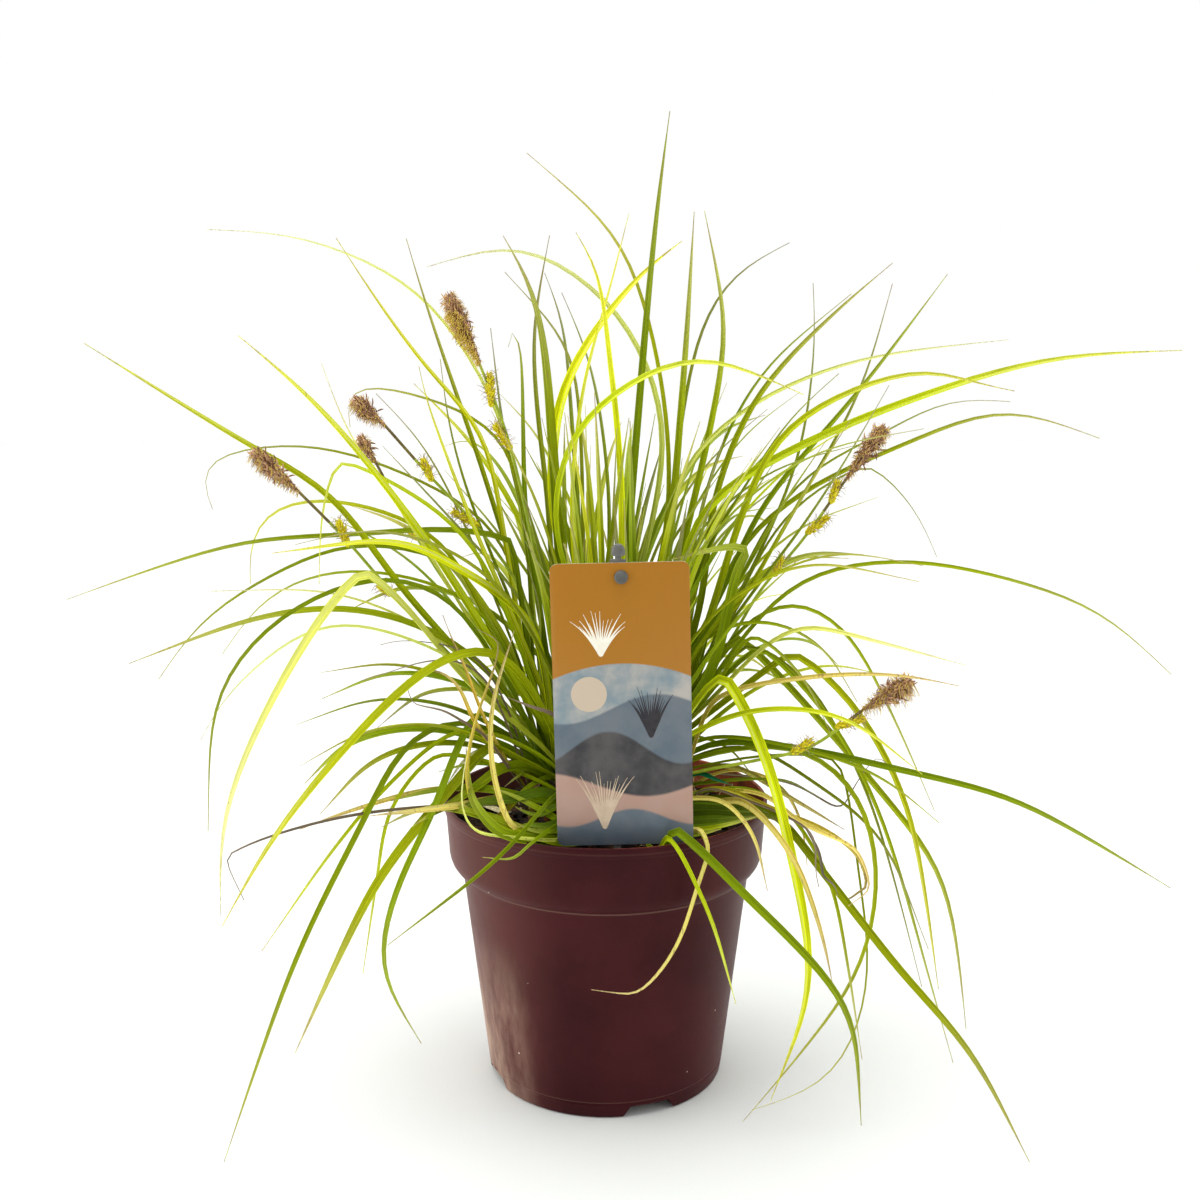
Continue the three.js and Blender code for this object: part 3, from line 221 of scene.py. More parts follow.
UPRIGHT_LEAVES = leaf_rows("""
    green 3.4 11,4,252 16,7,319 21,9,372 26,10,411
    olive 2.2 27,16,242 21,26,317 6,33,361 -34,40,398
    gold 4.2 -15,-5,253 -9,-7,305 0,-8,335 9,-10,369
    gold 6 7,-10,246 1,-16,315 -4,-19,350 -12,-20,361
    gold 5.2 -23,10,252 -20,13,294 -7,16,320 19,19,351 32,20,360
    pale 2.6 26,31,280 0,44,337 -38,52,360 -80,60,351
    olive 6 -20,0,261 -26,0,321 -31,0,342 -42,0,361
    grey 2.4 -25,16,251 -31,25,323 -24,30,363
    grey 1.8 -11,27,280 -16,33,315 -44,40,348
    grey 2.2 -15,36,284 -19,45,327 -27,50,348
    grey 1.8 1,19,259 -7,26,310 -19,30,339
    olive 3.4 28,10,247 34,16,319 37,20,372
    olive 3.2 36,14,243 48,21,298 51,24,325 42,30,373
    grey 1.8 34,33,289 43,40,327 57,45,348 81,50,361
    lime 3.8 -22,-13,246 -13,-18,283 10,-21,303 37,-25,313 78,-30,298
    green 2.6 -34,6,244 -36,9,317 -39,10,322 -41,10,316
    grey 1.8 -43,15,277 -49,20,324
""")

RIGHT_LEAVES = leaf_rows("""
    grey 2.2 84,21,272 90,27,319 89,30,343
    olive 4.4 45,10,247 63,14,294 95,17,329 121,20,351
    green 2.4 50,32,271 70,40,306 109,50,339
    grey 2.6 85,24,250 111,32,297 125,40,343
    green 3.8 65,5,248 103,7,294 123,9,320 142,10,346
    lime 5.4 39,-4,249 72,-5,272 133,-7,298 181,-9,312 234,-10,315
    pale 3 32,14,264 62,18,292 105,23,310 174,30,319
    lime 4.8 56,-9,246 71,-12,281 103,-15,301 134,-18,308 152,-19,300 164,-20,299
    olive 3.4 57,6,232 86,8,257 123,9,274 168,9,290 209,9,278
    grey 1.8 85,25,259 122,31,279 151,36,293 179,40,292
    grey 1.8 80,19,246 114,24,264 136,27,246 147,30,224
    olive 2.6 48,-11,191 80,-18,222 120,-24,231 198,-37,212 227,-40,187
    green 4.2 40,-13,147 81,-25,150 116,-36,147 162,-52,139 220,-72,109
    green 2.6 40,-15,150 80,-28,153 112,-40,144 134,-50,128
    pale 4.2 46,-17,171 63,-25,194 79,-30,205 106,-39,201 142,-50,193
    olive 5.2 65,-24,131 87,-48,108 116,-70,74 142,-82,46 166,-88,2
    green 5.2 23,-45,118 27,-57,117.8 31,-61.5,126.2 36,-68,124 52,-78,110 75,-82,88 94,-84,63
        101,-80,13
    lime 3.4 17,-47,117.5 21,-57,117.8 24.5,-64,126.2 28,-71,124 34,-75,113 41,-76,97 51,-75,62
    olive 5.2 81,-20,154 103,-34,137 111,-46,107 103,-56,68 56,-62,4
    gold 6.8 35,-22,172 47,-36,184 61,-46,161 74,-56,115 82,-62,64 67,-62,14
    olive 2.2 98,-10,142 105,-30,105 108,-48,55 91,-62,23 59,-68,13
    olive 5.2 42,-7,183 55,-9,195 78,-13,174 112,-18,136 142,-23,97 154,-30,29
    olive 3.2 64,-16,192 89,-22,170 110,-29,135 144,-50,24
    grey 2.4 56,-14,196 81,-18,183 108,-26,136 132,-40,53
    lime 4.8 55,-11,173 78,-15,189 102,-20,171 125,-27,130 139,-40,52
    grey 2.2 57,-15,150 88,-23,136 114,-32,116 133,-45,72
    olive 3.2 58,-22,133 73,-29,127 92,-42,101 97,-54,76 102,-72,37
    green 4.6 41,-17,179 53,-29,228 56,-32,236 52,-33,238 26,-40,233
    olive 2.8 46,-6,181 59,-8,202 79,-10,212 100,-12,200 139,-20,123
    olive 2.6 43,-15,196 66,-20,205 88,-25,196 103,-30,173
    olive 2.8 44,-17,175 60,-25,199 79,-32,186 91,-40,162
    olive 3.6 57,-10,212 70,-16,238 83,-22,263 97,-28,288
    grey 2.6 64,-14,217 81,-24,247 97,-32,276 110,-38,302
    green 2 42,4,228 60,8,259 78,12,286 99,16,305
    green 4 50,-16,208 59,-24,231 71,-32,256 86,-40,281
""")


# Low leaves that lie over the soil and the rim, each from inside its sheath to its tip.

LOW_LEFT = leaf_rows("""
    green 5.2 -12,-21,120 -19,-17,131 -28,-20,142 -37,-24,145 -45,-28,144 -52,-33,139 -60,-38,135
        -66,-44,132 -72,-50,131 -78,-56,128
    green 3.6 -12,-21,119 -18,-30,129 -31,-33,133 -42,-34,136 -52,-34,138 -62,-34,138 -73,-36,137
        -88,-40,134
    green 3.2 0,-21,119 -10,-38,124 -19,-44,127 -25,-44,131 -32,-42,134 -39,-40,137 -47,-38,139
    olive 5 0,-21,118 -8,-44,119 -19,-54,121.5 -27,-58,125.5 -35,-60,129 -42,-58,132 -50,-54,133
        -61,-46,133 -71,-44,133 -78,-46,132 -90,-52,127
    green 5 0,-21,118 -20,-52,122 -33,-62,126 -41,-64,128 -46,-60,131 -51,-54,135 -55,-48,139
        -56,-42,146 -57,-38,156
    green 2.4 -21,-10,124 -28,-10,136 -37,-8,138 -46,-6,139 -54,-6,140 -62,-6,139 -72,-6,136
    deep 5 -12,-21,118 -18,-34,133 -27,-38,138 -34,-40,136 -41,-42,135 -48,-42,135 -58,-44,133
        -66,-44,131
    deep 4.2 0,-21,118 -10,-44,124 -19,-48,128 -24,-52,127 -30,-54,129 -37,-58,129
    deep 3.6 -6,-30,120 -20,-40,132 -27,-46,130 -32,-46,131 -37,-44,133
    green 2.6 -12,-21,124 -23,-20,138 -32,-26,136 -39,-34,132 -44,-36,131
    grey 1.6 -24,-16,132 -33,-22,141 -37,-26,140 -42,-30,137
    green 3.6 0,-21,118 -10,-46,122 -20,-52,126 -26,-56,126.5 -31,-58,128 -36,-58,131
""")

LOW_RIGHT = leaf_rows("""
    deep 5.2 12,-21,120 24,-27,129 35,-30,131 44,-34,132 53,-38,132 64,-40,129 76,-44,124
    deep 5 12,-21,119 24,-30,127 34,-34,129 45,-38,130 55,-42,131 66,-42,130
    deep 5 12,-21,118 24,-33,125 34,-38,127 44,-42,129 55,-45,129 64,-46,130 70,-48,128
    deep 4.6 12,-21,117.5 24,-36,123 33,-42,125 43,-46,127 53,-48,129 62,-46,130
    olive 2.4 12,-21,117 26,-42,122 33,-46,124 42,-50,126 52,-52,129 63,-46,130
    green 4 8,-25,117 24,-46,122 34,-52,124 40,-54,125.5 46,-54,127
    teal 2.4 24,-6,130 40,-14,138 45,-18,137 49,-20,136 53,-22,135
    grey 1.3 24,-2,128 40,-10,132 63,-16,136 78,-19,136 84,-21,133 90,-23,130
    grey 1.1 22,2,126 56,-6,133 70,-10,134 74,-11,131 79,-12,128 81,-13,123 82,-14,118
    green 1.3 24,6,128 35,2,150 47,0,148 55,-2,144 60,-3,138 65,-4,132
""")

LOW_DRY = leaf_rows("""
    dead 1.3 31,-13,124 44,-28,136 55,-36,134 67,-44,132 74,-50,130 80,-54,128 83,-56,125 84,-57,119
        83,-58,112 85,-58,104
    dead 1.2 80,-54,127 83,-55,122 85,-55,118 86,-56,114 87,-57,108 91,-57,105 93,-57,100
    amber 2 31,-13,125 46,-22,135 58,-26,132 70,-30,127 80,-32,124 89,-34,121 97,-36,116 103,-38,112
        106,-38,106 107,-40,97 103,-40,94 99,-40,91 95,-40,94 92,-42,98
    dead 2.4 -12,-21,125 -14,-26,150 -21,-30,168 -29,-32,171 -40,-34,176
    cream 2.8 -44,4,114.6 -49,10,114.2 -53,14,114.2 -57,17,114.6
    cream 2.8 -20,-10,128 -38,4,140 -48,10,142 -55,8,142 -61,4,139 -65,0,135 -68,-6,131
    dead 2 -12,-21,126 -24,-18,136 -29,-16,136 -34,-14,137 -40,-12,139
    amber 2.2 -31,-12,125 -40,-24,144 -50,-36,161 -55,-40,171 -58,-42,181 -64,-42,188 -72,-42,190
        -76,-42,189
    dead 1.4 -31,-12,125 -42,-28,147 -51,-38,163 -58,-42,168 -64,-44,173 -71,-46,175 -77,-46,177
        -79,-46,182
    dead 0.9 -31,-12,125 -40,-22,158 -51,-30,185 -62,-34,192 -74,-38,192 -87,-40,188 -98,-42,185
    dead 0.8 -31,-12,125 -40,-20,165 -52,-24,189 -64,-26,196 -75,-28,198 -87,-30,199 -92,-30,197
    amber 1.5 -31,-12,125 -42,-26,148 -52,-32,172 -57,-33,188 -62,-33,199 -66,-33,210
""")

# The broad leaf that folds over beside the label's top corner, and shows its face.
CREST_LEAF = RIGHT_LEAVES[27]

# Straw-coloured and dead leaves, in bunches at the clump's edge: each bunch's place and its leaves.
DRY_BUNCHES = (
    ((-31, -12), leaf_rows("""
        straw 3 -69,-26,135 -107,-40,129 -124,-46,124
        straw 4 -63,-48,134 -93,-62,135
        dead 2.6 -84,-44,132 -114,-54,130 -143,-60,122 -150,-61,117 -144,-62,100
        amber 3.2 -48,-44,127 -56,-47,140 -53,-41,167 -45,-33,189 -44,-32,199 -52,-33,204
    """)),
    ((-17, -29), leaf_rows("""
        straw 3 -24,-50,124 -37,-59,130 -45,-50,148 -46,-42,173 -37,-36,204
        pale 1.8 -20,-56,124 -40,-63,127 -53,-57,127 -58,-50,135 -55,-40,162
    """)),
    ((17, -29), leaf_rows("""
        straw 2.8 33,-47,124 38,-58,127 40,-65,122 36,-65,107 27,-64,79 12,-64,62 -6,-64,63
        straw 2.4 46,-46,136 58,-56,126 64,-62,104
    """)),
    ((31, -13), leaf_rows("""
        straw 3.6 55,-42,135 73,-60,120 85,-66,89 90,-68,67
        straw 2.8 66,-28,132 79,-44,126 100,-54,118 105,-57,103 97,-58,96
        straw 2.8 45,-22,172 80,-37,185 116,-51,189 137,-60,187
    """)),
    ((32, 9), leaf_rows("""
        straw 3 52,-2,138 77,-22,130 99,-32,119
        straw 2.4 54,6,134 74,-6,131 83,-14,118 86,-18,98
        dead 2 81,4,128 100,-10,122 106,-20,137 113,-26,148 117,-28,146
    """)),
)


@dataclass(frozen=True)
class StemRow:
    """A flower stem: where it stands, the points that it passes, its spike and its side spikelets."""

    place: tuple[float, float]
    path: tuple[Point, ...]
    head: Point
    radius: float
    side: tuple[tuple[float, float], ...]


FLOWER_STEMS: tuple[StemRow, ...] = (
    StemRow((-12, 6.9), ((-26, 0, 206), (-32, 0, 240), (-42, 0, 282), (-53, 0, 311)),
            (-12, 0, 27), 3.3, ((0.8, 14), (0.93, 15))),
    StemRow((-12, -6.9), ((-36, -5, 215), (-53, -6, 241), (-75, -8, 266), (-91, -10, 285)),
            (-12, 0, 10), 2.9, ((0.72, 14), (0.85, 11))),
    StemRow((-18, -3.5), ((-56, -12, 178), (-85, -20, 213), (-106, -25, 240), (-124, -28, 260)),
            (-17, -2, 16), 3.1, ((0.7, 9), (0.84, 13))),
    StemRow((-6, 3.5), ((-50, 4, 190), (-71, 6, 220), (-86, 8, 245), (-98, 10, 268)),
            (-6, 0, 10), 1.7, ((0.8, 6),)),
    StemRow((12, 6.9), ((53, -3, 193), (65, -3, 214), (84, -3, 238), (101, -3, 263)),
            (15, 0, 21), 3.0, ((0.72, 10), (0.84, 13), (0.93, 11))),
    StemRow((18, -3.5), ((40, -34, 145), (60, -40, 151), (82, -44, 158), (103, -48, 175)),
            (18, -2, 12), 3.3, ((0.74, 11), (0.9, 13))),
)

# ---- sizes shared by several pieces

GAP = 0.4
POT_HEIGHT = 124.0
RIM_RADIUS = 70.0
COLLAR_RADIUS = 68.2
COLLAR_BOTTOM = 96.0
SHOULDER_RADIUS = 62.8
FOOT_RADIUS = 51.4
POT_WALL = 1.6
SOIL_EDGE = 111.5
SOIL_CROWN = 115.5
CROWN_RADIUS = 34.0
CARD_X, CARD_Z, CARD_FRONT = 6.3, 178.4, -57.6
CARD_WIDTH, CARD_HEIGHT, CARD_THICK, CARD_ROLL = 54.0, 113.5, 0.8, 1.4
STAKE_X, STAKE_WIDTH, STAKE_THICK = 4.5, 6.2, 1.6
KNOB_Z, KNOB_RADIUS = 239.6, 2.7
BLADE_CLEAR = 0.5
SHEATH_RADIUS, SHEATH_TOP, SHEATH_SUNK, SHEATH_RISE = 3.4, 2.5, 11.0, 25.0
ROOT_OFFSET = 0.9
STEM_RADIUS, STEM_TOP = 1.0, 0.75
SEGMENT = 42.0


def soil_top(radius: float) -> float:
    """Height of the soil at a distance from the pot's axis."""
    return mix(SOIL_CROWN, SOIL_EDGE, clamp(radius / CROWN_RADIUS, 0, 1))


# ---- lines and their frames


def each_dot(a: np.ndarray, b: np.ndarray) -> np.ndarray:
    """Dot products of rows of vectors."""
    return (a * b).sum(-1)


def each_unit(a: np.ndarray) -> np.ndarray:
    """Rows of vectors at length one."""
    size = np.sqrt(each_dot(a, a))
    return a / np.where(size == 0, 1.0, size)[..., None]


def square_to(a: np.ndarray, ways: np.ndarray) -> np.ndarray:
    """Rows of vectors turned square to some ways, at length one."""
    return each_unit(a - ways * each_dot(a, ways)[..., None])


def along_the_line(line: np.ndarray) -> np.ndarray:
    """The way along a line at each of its points."""
    return each_unit(np.gradient(line, axis=0))


def around(angle: float, across: np.ndarray, normal: np.ndarray) -> np.ndarray:
    """The way at an angle about a line, from two ways that are square to it."""
    return across * math.cos(angle) + normal * math.sin(angle)


def curve_points(stations: np.ndarray, spans: np.ndarray, shares: np.ndarray) -> np.ndarray:
    """Work out points of the smooth curve through some stations.

    Args:
        stations: what the curve passes.
        spans: the number of the span that each point is on.
        shares: how far along its span each point is.

    Returns:
        The points.
    """
    every = np.vstack([2 * stations[0] - stations[1], stations, 2 * stations[-1] - stations[-2]])
    a, b, c, d = (every[spans + k] for k in range(4))
    knots = [np.maximum(each_dot(p - q, p - q) ** 0.25, 1e-3)[..., None] for p, q in ((a, b), (b, c), (c, d))]
    ab, bc, cd = knots
    start = ((b - a) / ab - (c - a) / (ab + bc) + (c - b) / bc) * bc
    end = ((c - b) / bc - (d - b) / (bc + cd) + (d - c) / cd) * bc
    t = shares[..., None]
    return b + start * t + (-3 * b + 3 * c - 2 * start - end) * t * t + (2 * b - 2 * c + start + end) * t ** 3


def stations_through(points: Sequence[Point], segment: float) -> np.ndarray:
    """Set stations along the smooth curve through some points.

    Args:
        points: what the curve passes.
        segment: the length of a segment; each span has one or more.

    Returns:
        The stations, from the first point to the last.
    """
    bare = np.array(points, float)
    lengths = np.linalg.norm(np.diff(bare, axis=0), axis=1)
    counts = [max(1, math.floor(float(length) / segment + 0.5)) for length in lengths]
    shares = np.concatenate([np.arange(1, count + 1) / count for count in counts])
    return np.vstack([bare[:1], curve_points(bare, np.repeat(np.arange(len(counts)), counts), shares)])


def running_length(stations: np.ndarray) -> np.ndarray:
    """How far along a line each of its stations is."""
    return np.concatenate([[0.0], np.cumsum(np.linalg.norm(np.diff(stations, axis=0), axis=1))])


def length_shares(stations: np.ndarray) -> np.ndarray:
    """Shares of a line's length at its stations."""
    run = running_length(stations)
    return run / run[-1]


def smooth_line(stations: np.ndarray, shares: np.ndarray) -> np.ndarray:
    """Work out points of the smooth curve through some stations.

    Args:
        stations: what the curve passes.
        shares: the share of its length at each point.

    Returns:
        The points.
    """
    run = running_length(stations)
    along = shares * run[-1]
    spans = np.clip(np.searchsorted(run, along, side="right") - 1, 0, len(run) - 2)
    return curve_points(stations, spans, (along - run[spans]) / np.maximum(np.diff(run)[spans], 1e-6))


def carried_frames(lines: np.ndarray, counts: np.ndarray, upper: np.ndarray) -> tuple[np.ndarray, np.ndarray]:
    """Carry a frame along each line, turning no more than it must.

    Args:
        lines: the stations of each line, padded to one length.
        counts: how many stations each line has.
        upper: the way that each line's upper face looks at its root.

    Returns:
        The ways along and the upper face's normals, shaped as the lines.
    """
    rows = np.arange(len(lines))
    ahead, normals = np.zeros_like(lines), np.zeros_like(lines)
    for i in range(lines.shape[1]):
        here = np.minimum(i, counts - 1)
        after = lines[rows, np.minimum(here + 1, counts - 1)]
        ahead[:, i] = each_unit(after - lines[rows, np.maximum(here - 1, 0)])
        normal = upper
        if i > 0:
            last, turn = normals[:, i - 1], ahead[:, i - 1] + ahead[:, i]
            bend = -each_dot(last, ahead[:, i]) / np.maximum(0.05, 1 + each_dot(ahead[:, i - 1], ahead[:, i]))
            normal = last + turn * bend[:, None]
        normals[:, i] = square_to(normal, ahead[:, i])
    return ahead, normals


# ---- the rule that places the leaves


@dataclass
class Leaf:
    """A leaf: the node that it belongs to, its width, its colouring and the line that it follows."""

    node: str
    width: float
    tint: Tint
    upper_side: np.ndarray
    line: np.ndarray
    normals: np.ndarray | None = None
    drawn: bool = False
    slim: float = 0.78
    taper: float = 4.2
    frontal: bool = False


@dataclass
class Tiller:
    """A tiller or a dry bunch: where it stands and the leaves that have a place of their own."""

    node: str
    x: float
    y: float
    ring: int = 0
    size: float = 1.0
    leaves: list[LeafRow] = field(default_factory=list)
    dry: bool = False

    def soil(self) -> float:
        """Height of the soil round it."""
        return soil_top(math.hypot(self.x, self.y))


@dataclass
class Clump:
    """The whole clump of leaves, as the frame has it."""

    pitch: float = 12.0
    leaves_per_tiller: int = 11
    set_per_tiller: int = 8
    tip_lean: float = 0.2
    half_width: float = 122.0
    top: float = 300.0
    seed: int = 16
    ring_spreads: tuple[float, ...] = (180, 105, 70)
    ring_leans: tuple[float, ...] = (9, 15, 24)
    ring_droops: tuple[float, ...] = (50, 80, 105)
    front_ease: float = 0.35
    sprawling: float = 0.35
    lowest_root: float = 7.0
    roots_below_top: float = 9.0
    turn_up: float = 0.3
    turn_rise: float = 13.0
    turn_reach: float = 3.4
    tillers: list[Tiller] = field(default_factory=list)
    leaves: list[Leaf] = field(default_factory=list)
    posts: list[tuple[str, np.ndarray, np.ndarray, float]] = field(default_factory=list)

    def place_tillers(self) -> None:
        """Set nineteen tillers on a triangular grid, in rings of one, six and twelve, and the dry bunches."""
        for ring in range(3):
            for step in range(max(1, ring * 6)):
                corner, along = divmod(step, ring) if ring else (0, 0)
                start, end = corner * 60 * DEGREE, (corner + 1) * 60 * DEGREE
                share = along / ring if ring else 0.0
                x = mix(math.cos(start), math.cos(end), share) * ring * self.pitch
                y = mix(math.sin(start), math.sin(end), share) * ring * self.pitch
                self.tillers.append(Tiller(f"leaf_tuft_{len(self.tillers) + 1:02d}", x, y, ring))
        self.share_out()
        for number, (place, rows) in enumerate(DRY_BUNCHES, 1):
            node = f"dry_leaves_{number:02d}"
            self.tillers.append(Tiller(node, *place, size=0.75, leaves=list(rows), dry=True))

    def share_out(self) -> None:
        """Give each leaf of the lists to the free tiller nearest to where its tip points."""
        for row in LEFT_LEAVES + UPRIGHT_LEAVES + RIGHT_LEAVES:
            tip = row.points[-1]
            scale = min(self.tip_lean, 2 * self.pitch / math.hypot(tip[0], tip[1]))
            home, best = None, 1e9
            for tiller in self.tillers:
                away = math.hypot(tiller.x - tip[0] * scale, tiller.y - tip[1] * scale)
                if len(tiller.leaves) < self.set_per_tiller and (home is None or away < best - 1e-6):
                    home, best = tiller, away
            home.leaves.append(row)

    def grow(self, tiller: Tiller, draw: Draw) -> None:
        """Add every leaf of a tiller or bunch.

        Args:
            tiller: the tiller.
            draw: the clump's draw.
        """
        listed = sorted(tiller.leaves, key=lambda row: row.points[-1][2])
        drawn = 0 if tiller.dry else max(0, self.leaves_per_tiller - len(listed))
        base = tiller.soil() + self.lowest_root
        rise = (SHEATH_RISE - self.roots_below_top) / max(1, len(listed) + drawn)
        for k, row in enumerate(listed):
            self.leaves.append(self.listed_leaf(tiller, row, base + rise * k, draw))
        for k in range(drawn):
            self.leaves.append(self.drawn_leaf(tiller, k, drawn, base + rise * (len(listed) + k), draw))

    @staticmethod
    def upper_side(heading: float, turn: float) -> np.ndarray:
        """A level way that a leaf's upper side faces at its root."""
        return np.array([-math.cos(heading + turn), -math.sin(heading + turn), 0.0])

    def listed_leaf(self, tiller: Tiller, row: LeafRow, z: float, draw: Draw) -> Leaf:
        """Make a leaf of the lists.

        Args:
            tiller: its tiller.
            row: its row.
            z: the height of its root.
            draw: the clump's draw.

        Returns:
            The leaf.
        """
        tip = row.points[-1]
        heading = math.atan2(tip[1] - tiller.y, tip[0] - tiller.x)
        turn = (60 * math.cos(heading) + 30 * (draw() - 0.5)) * DEGREE
        line = stations_through([*self.root_points(tiller, z, row.points[0]), *row.points], SEGMENT)
        leaf = Leaf(tiller.node, row.width, row.tint, self.upper_side(heading, turn), line)
        if row in UPRIGHT_LEAVES:
            leaf.slim, leaf.taper = 0.98, 5.0
        elif tiller.dry:
            leaf.slim = 0.50 if row.tint == Tint.DEAD else 0.78
        elif row == CREST_LEAF:
            leaf.slim, leaf.taper, leaf.frontal = 0.95, 7.0, True
        else:
            leaf.slim = 0.68
        return leaf

    def root_points(self, tiller: Tiller, z: float, following: Point) -> list[Point]:
        """Find where a leaf leaves its sheath, and the point near it that turns it upwards first.

        Args:
            tiller: its tiller.
            z: the height of its root.
            following: the point that it passes next.

        Returns:
            The two points.
        """
        x, y = tiller.x, tiller.y
        reach = math.hypot(following[0] - x, following[1] - y) or 1.0
        ahead, aside = (following[0] - x) / reach, (following[1] - y) / reach
        rise = clamp((following[2] - z) * self.turn_up, 1, self.turn_rise)
        outer = min(self.turn_reach, reach * self.turn_up)
        return [(x + ahead * ROOT_OFFSET, y + aside * ROOT_OFFSET, z),
                (x + ahead * outer, y + aside * outer, z + rise)]

    @staticmethod
    def arc(root: Point, heading: float, lean: float, droop: float, reach: float,
            segments: int) -> np.ndarray:
        """Draw a free-standing leaf: an arc that leans further over towards its tip.

        Args:
            root: where it starts.
            heading: the level way that it leans.
            lean: how far it leans at its root.
            droop: how much further it leans at its tip.
            reach: its length.
            segments: how many segments its line has.

        Returns:
            The line's stations.
        """
        fine = 4
        angles = lean + droop * ((np.arange(fine * segments) + 0.5) / (fine * segments)) ** 1.6
        level = np.sin(angles)
        ways = np.stack([level * math.cos(heading), level * math.sin(heading), np.cos(angles)], 1)
        return np.vstack([root, root + np.cumsum(ways * (reach / len(angles)), 0)[fine - 1::fine]])

    def drawn_leaf(self, tiller: Tiller, index: int, count: int, z: float, draw: Draw) -> Leaf:
        """Draw a leaf by rule: it leans away from the clump's middle, more so in the outer tillers.

        Args:
            tiller: its tiller.
            index: its number among the tiller's drawn leaves.
            count: how many of those there are.
            z: the height of its root.
            draw: the clump's draw.

        Returns:
            The leaf.
        """
        ring = tiller.ring
        even = draw() * 2 - 1 if ring else (2 * index + draw()) / count - 1
        heading = math.atan2(tiller.y, tiller.x) + self.ring_spreads[ring] * DEGREE * even
        front = -math.sin(heading) > 0.5
        sprawls = ring == 2 and draw() < self.sprawling and not front
        ease = self.front_ease if front else 1.0
        if sprawls:
            lean, droop = draw.between(34, 60) * DEGREE, draw.between(62, 102) * DEGREE
            reach = draw.between(110, 200)
        else:
            lean = (3 + self.ring_leans[ring] * draw()) * ease * DEGREE
            droop = (8 + self.ring_droops[ring] * draw() ** 1.5) * ease * DEGREE
            reach = draw.between(80, 160) + 55 * droop
        width = draw.between(2.2, 5.4)
        turn = (draw() - 0.5) * 100 * DEGREE
        segments = int(clamp(math.floor(reach / SEGMENT + 0.5), 4, 7))
        root = (tiller.x + math.cos(heading) * ROOT_OFFSET, tiller.y + math.sin(heading) * ROOT_OFFSET, z)
        trial = self.arc(root, heading, lean, droop, reach, segments)
        far = float(np.abs(trial[:, 0]).max()) / self.half_width
        high = float((trial[:, 2] - z).max()) / (self.top - z)
        line = self.arc(root, heading, lean, droop, reach / max(1, far, high), segments)
        tint = (Tint.GREEN, Tint.OLIVE, Tint.LIME, Tint.OLIVE, Tint.GREEN, Tint.GREY)[int(width * 97) % 6]
        return Leaf(tiller.node, width, tint, self.upper_side(heading, turn), line, drawn=True)

    def build(self) -> None:
        """Place every leaf and bend them all clear of each other and of the rest."""
        draw = Draw(self.seed)
        self.place_tillers()
        for tiller in self.tillers:
            self.grow(tiller, draw)
            top = tiller.soil()
            self.add_post(tiller.node, (tiller.x, tiller.y, top),
                          (tiller.x, tiller.y, top + SHEATH_RISE * tiller.size), SHEATH_RADIUS * tiller.size)
        for number, row in enumerate(FLOWER_STEMS, 1):
            stem = FlowerStem(number, row)
            for low, high in zip(stem.line[:-1], stem.line[1:]):
                self.add_post(stem.node, low, high, STEM_RADIUS)
            for foot, way, radius in stem.spikelets:
                self.add_post(stem.node, foot, foot + way, radius)
            self.add_post(stem.spike_node, stem.spike_foot, stem.spike_foot + stem.head, stem.radius)
        Clearing(self).bend()

    def add_post(self, node: str, low: Iterable[float], high: Iterable[float], radius: float) -> None:
        """Add a round thing that stays where it is, for the leaves to stay clear of."""
        self.posts.append((node, np.array(low, float), np.array(high, float), radius))


# ---- bending the leaves clear


def blade_swell(width: float, share: np.ndarray) -> np.ndarray:
    """Width of a blade before it tapers: narrow in the sheath and full from low down."""
    narrow = min(0.62, 2.6 / width)
    return width * (narrow + (1 - narrow) * np.clip(share / 0.22, 0, 1))


def blade_width(width: float, share: np.ndarray) -> np.ndarray:
    """Width of a blade at a share of its length, with a long tip."""
    return blade_swell(width, share) * (1 - share ** 4.2)


def blade_keel(width: float, share: np.ndarray) -> np.ndarray:
    """Depth of a blade's keel under its upper face."""
    return max(0.9, width * 0.25) * (1 - 0.3 * share)


# Boxes that leaves keep out of, by their low and high corners: the card and what is behind it, and the stake.
CARD_BACK = CARD_FRONT + CARD_THICK + GAP + STAKE_THICK + 0.6
CARD_BOX = np.array([
    (CARD_X - CARD_WIDTH / 2 - 1.2, CARD_FRONT, CARD_Z - CARD_HEIGHT / 2 - 0.4),
    (CARD_X + CARD_WIDTH / 2 + 1.2, CARD_BACK, CARD_Z + CARD_HEIGHT / 2 + 0.8),
])
STAKE_BOX = np.array([
    (STAKE_X - STAKE_WIDTH / 2, CARD_FRONT - GAP - 1.5, SOIL_EDGE),
    (STAKE_X + STAKE_WIDTH / 2, CARD_BACK, KNOB_Z + KNOB_RADIUS),
])


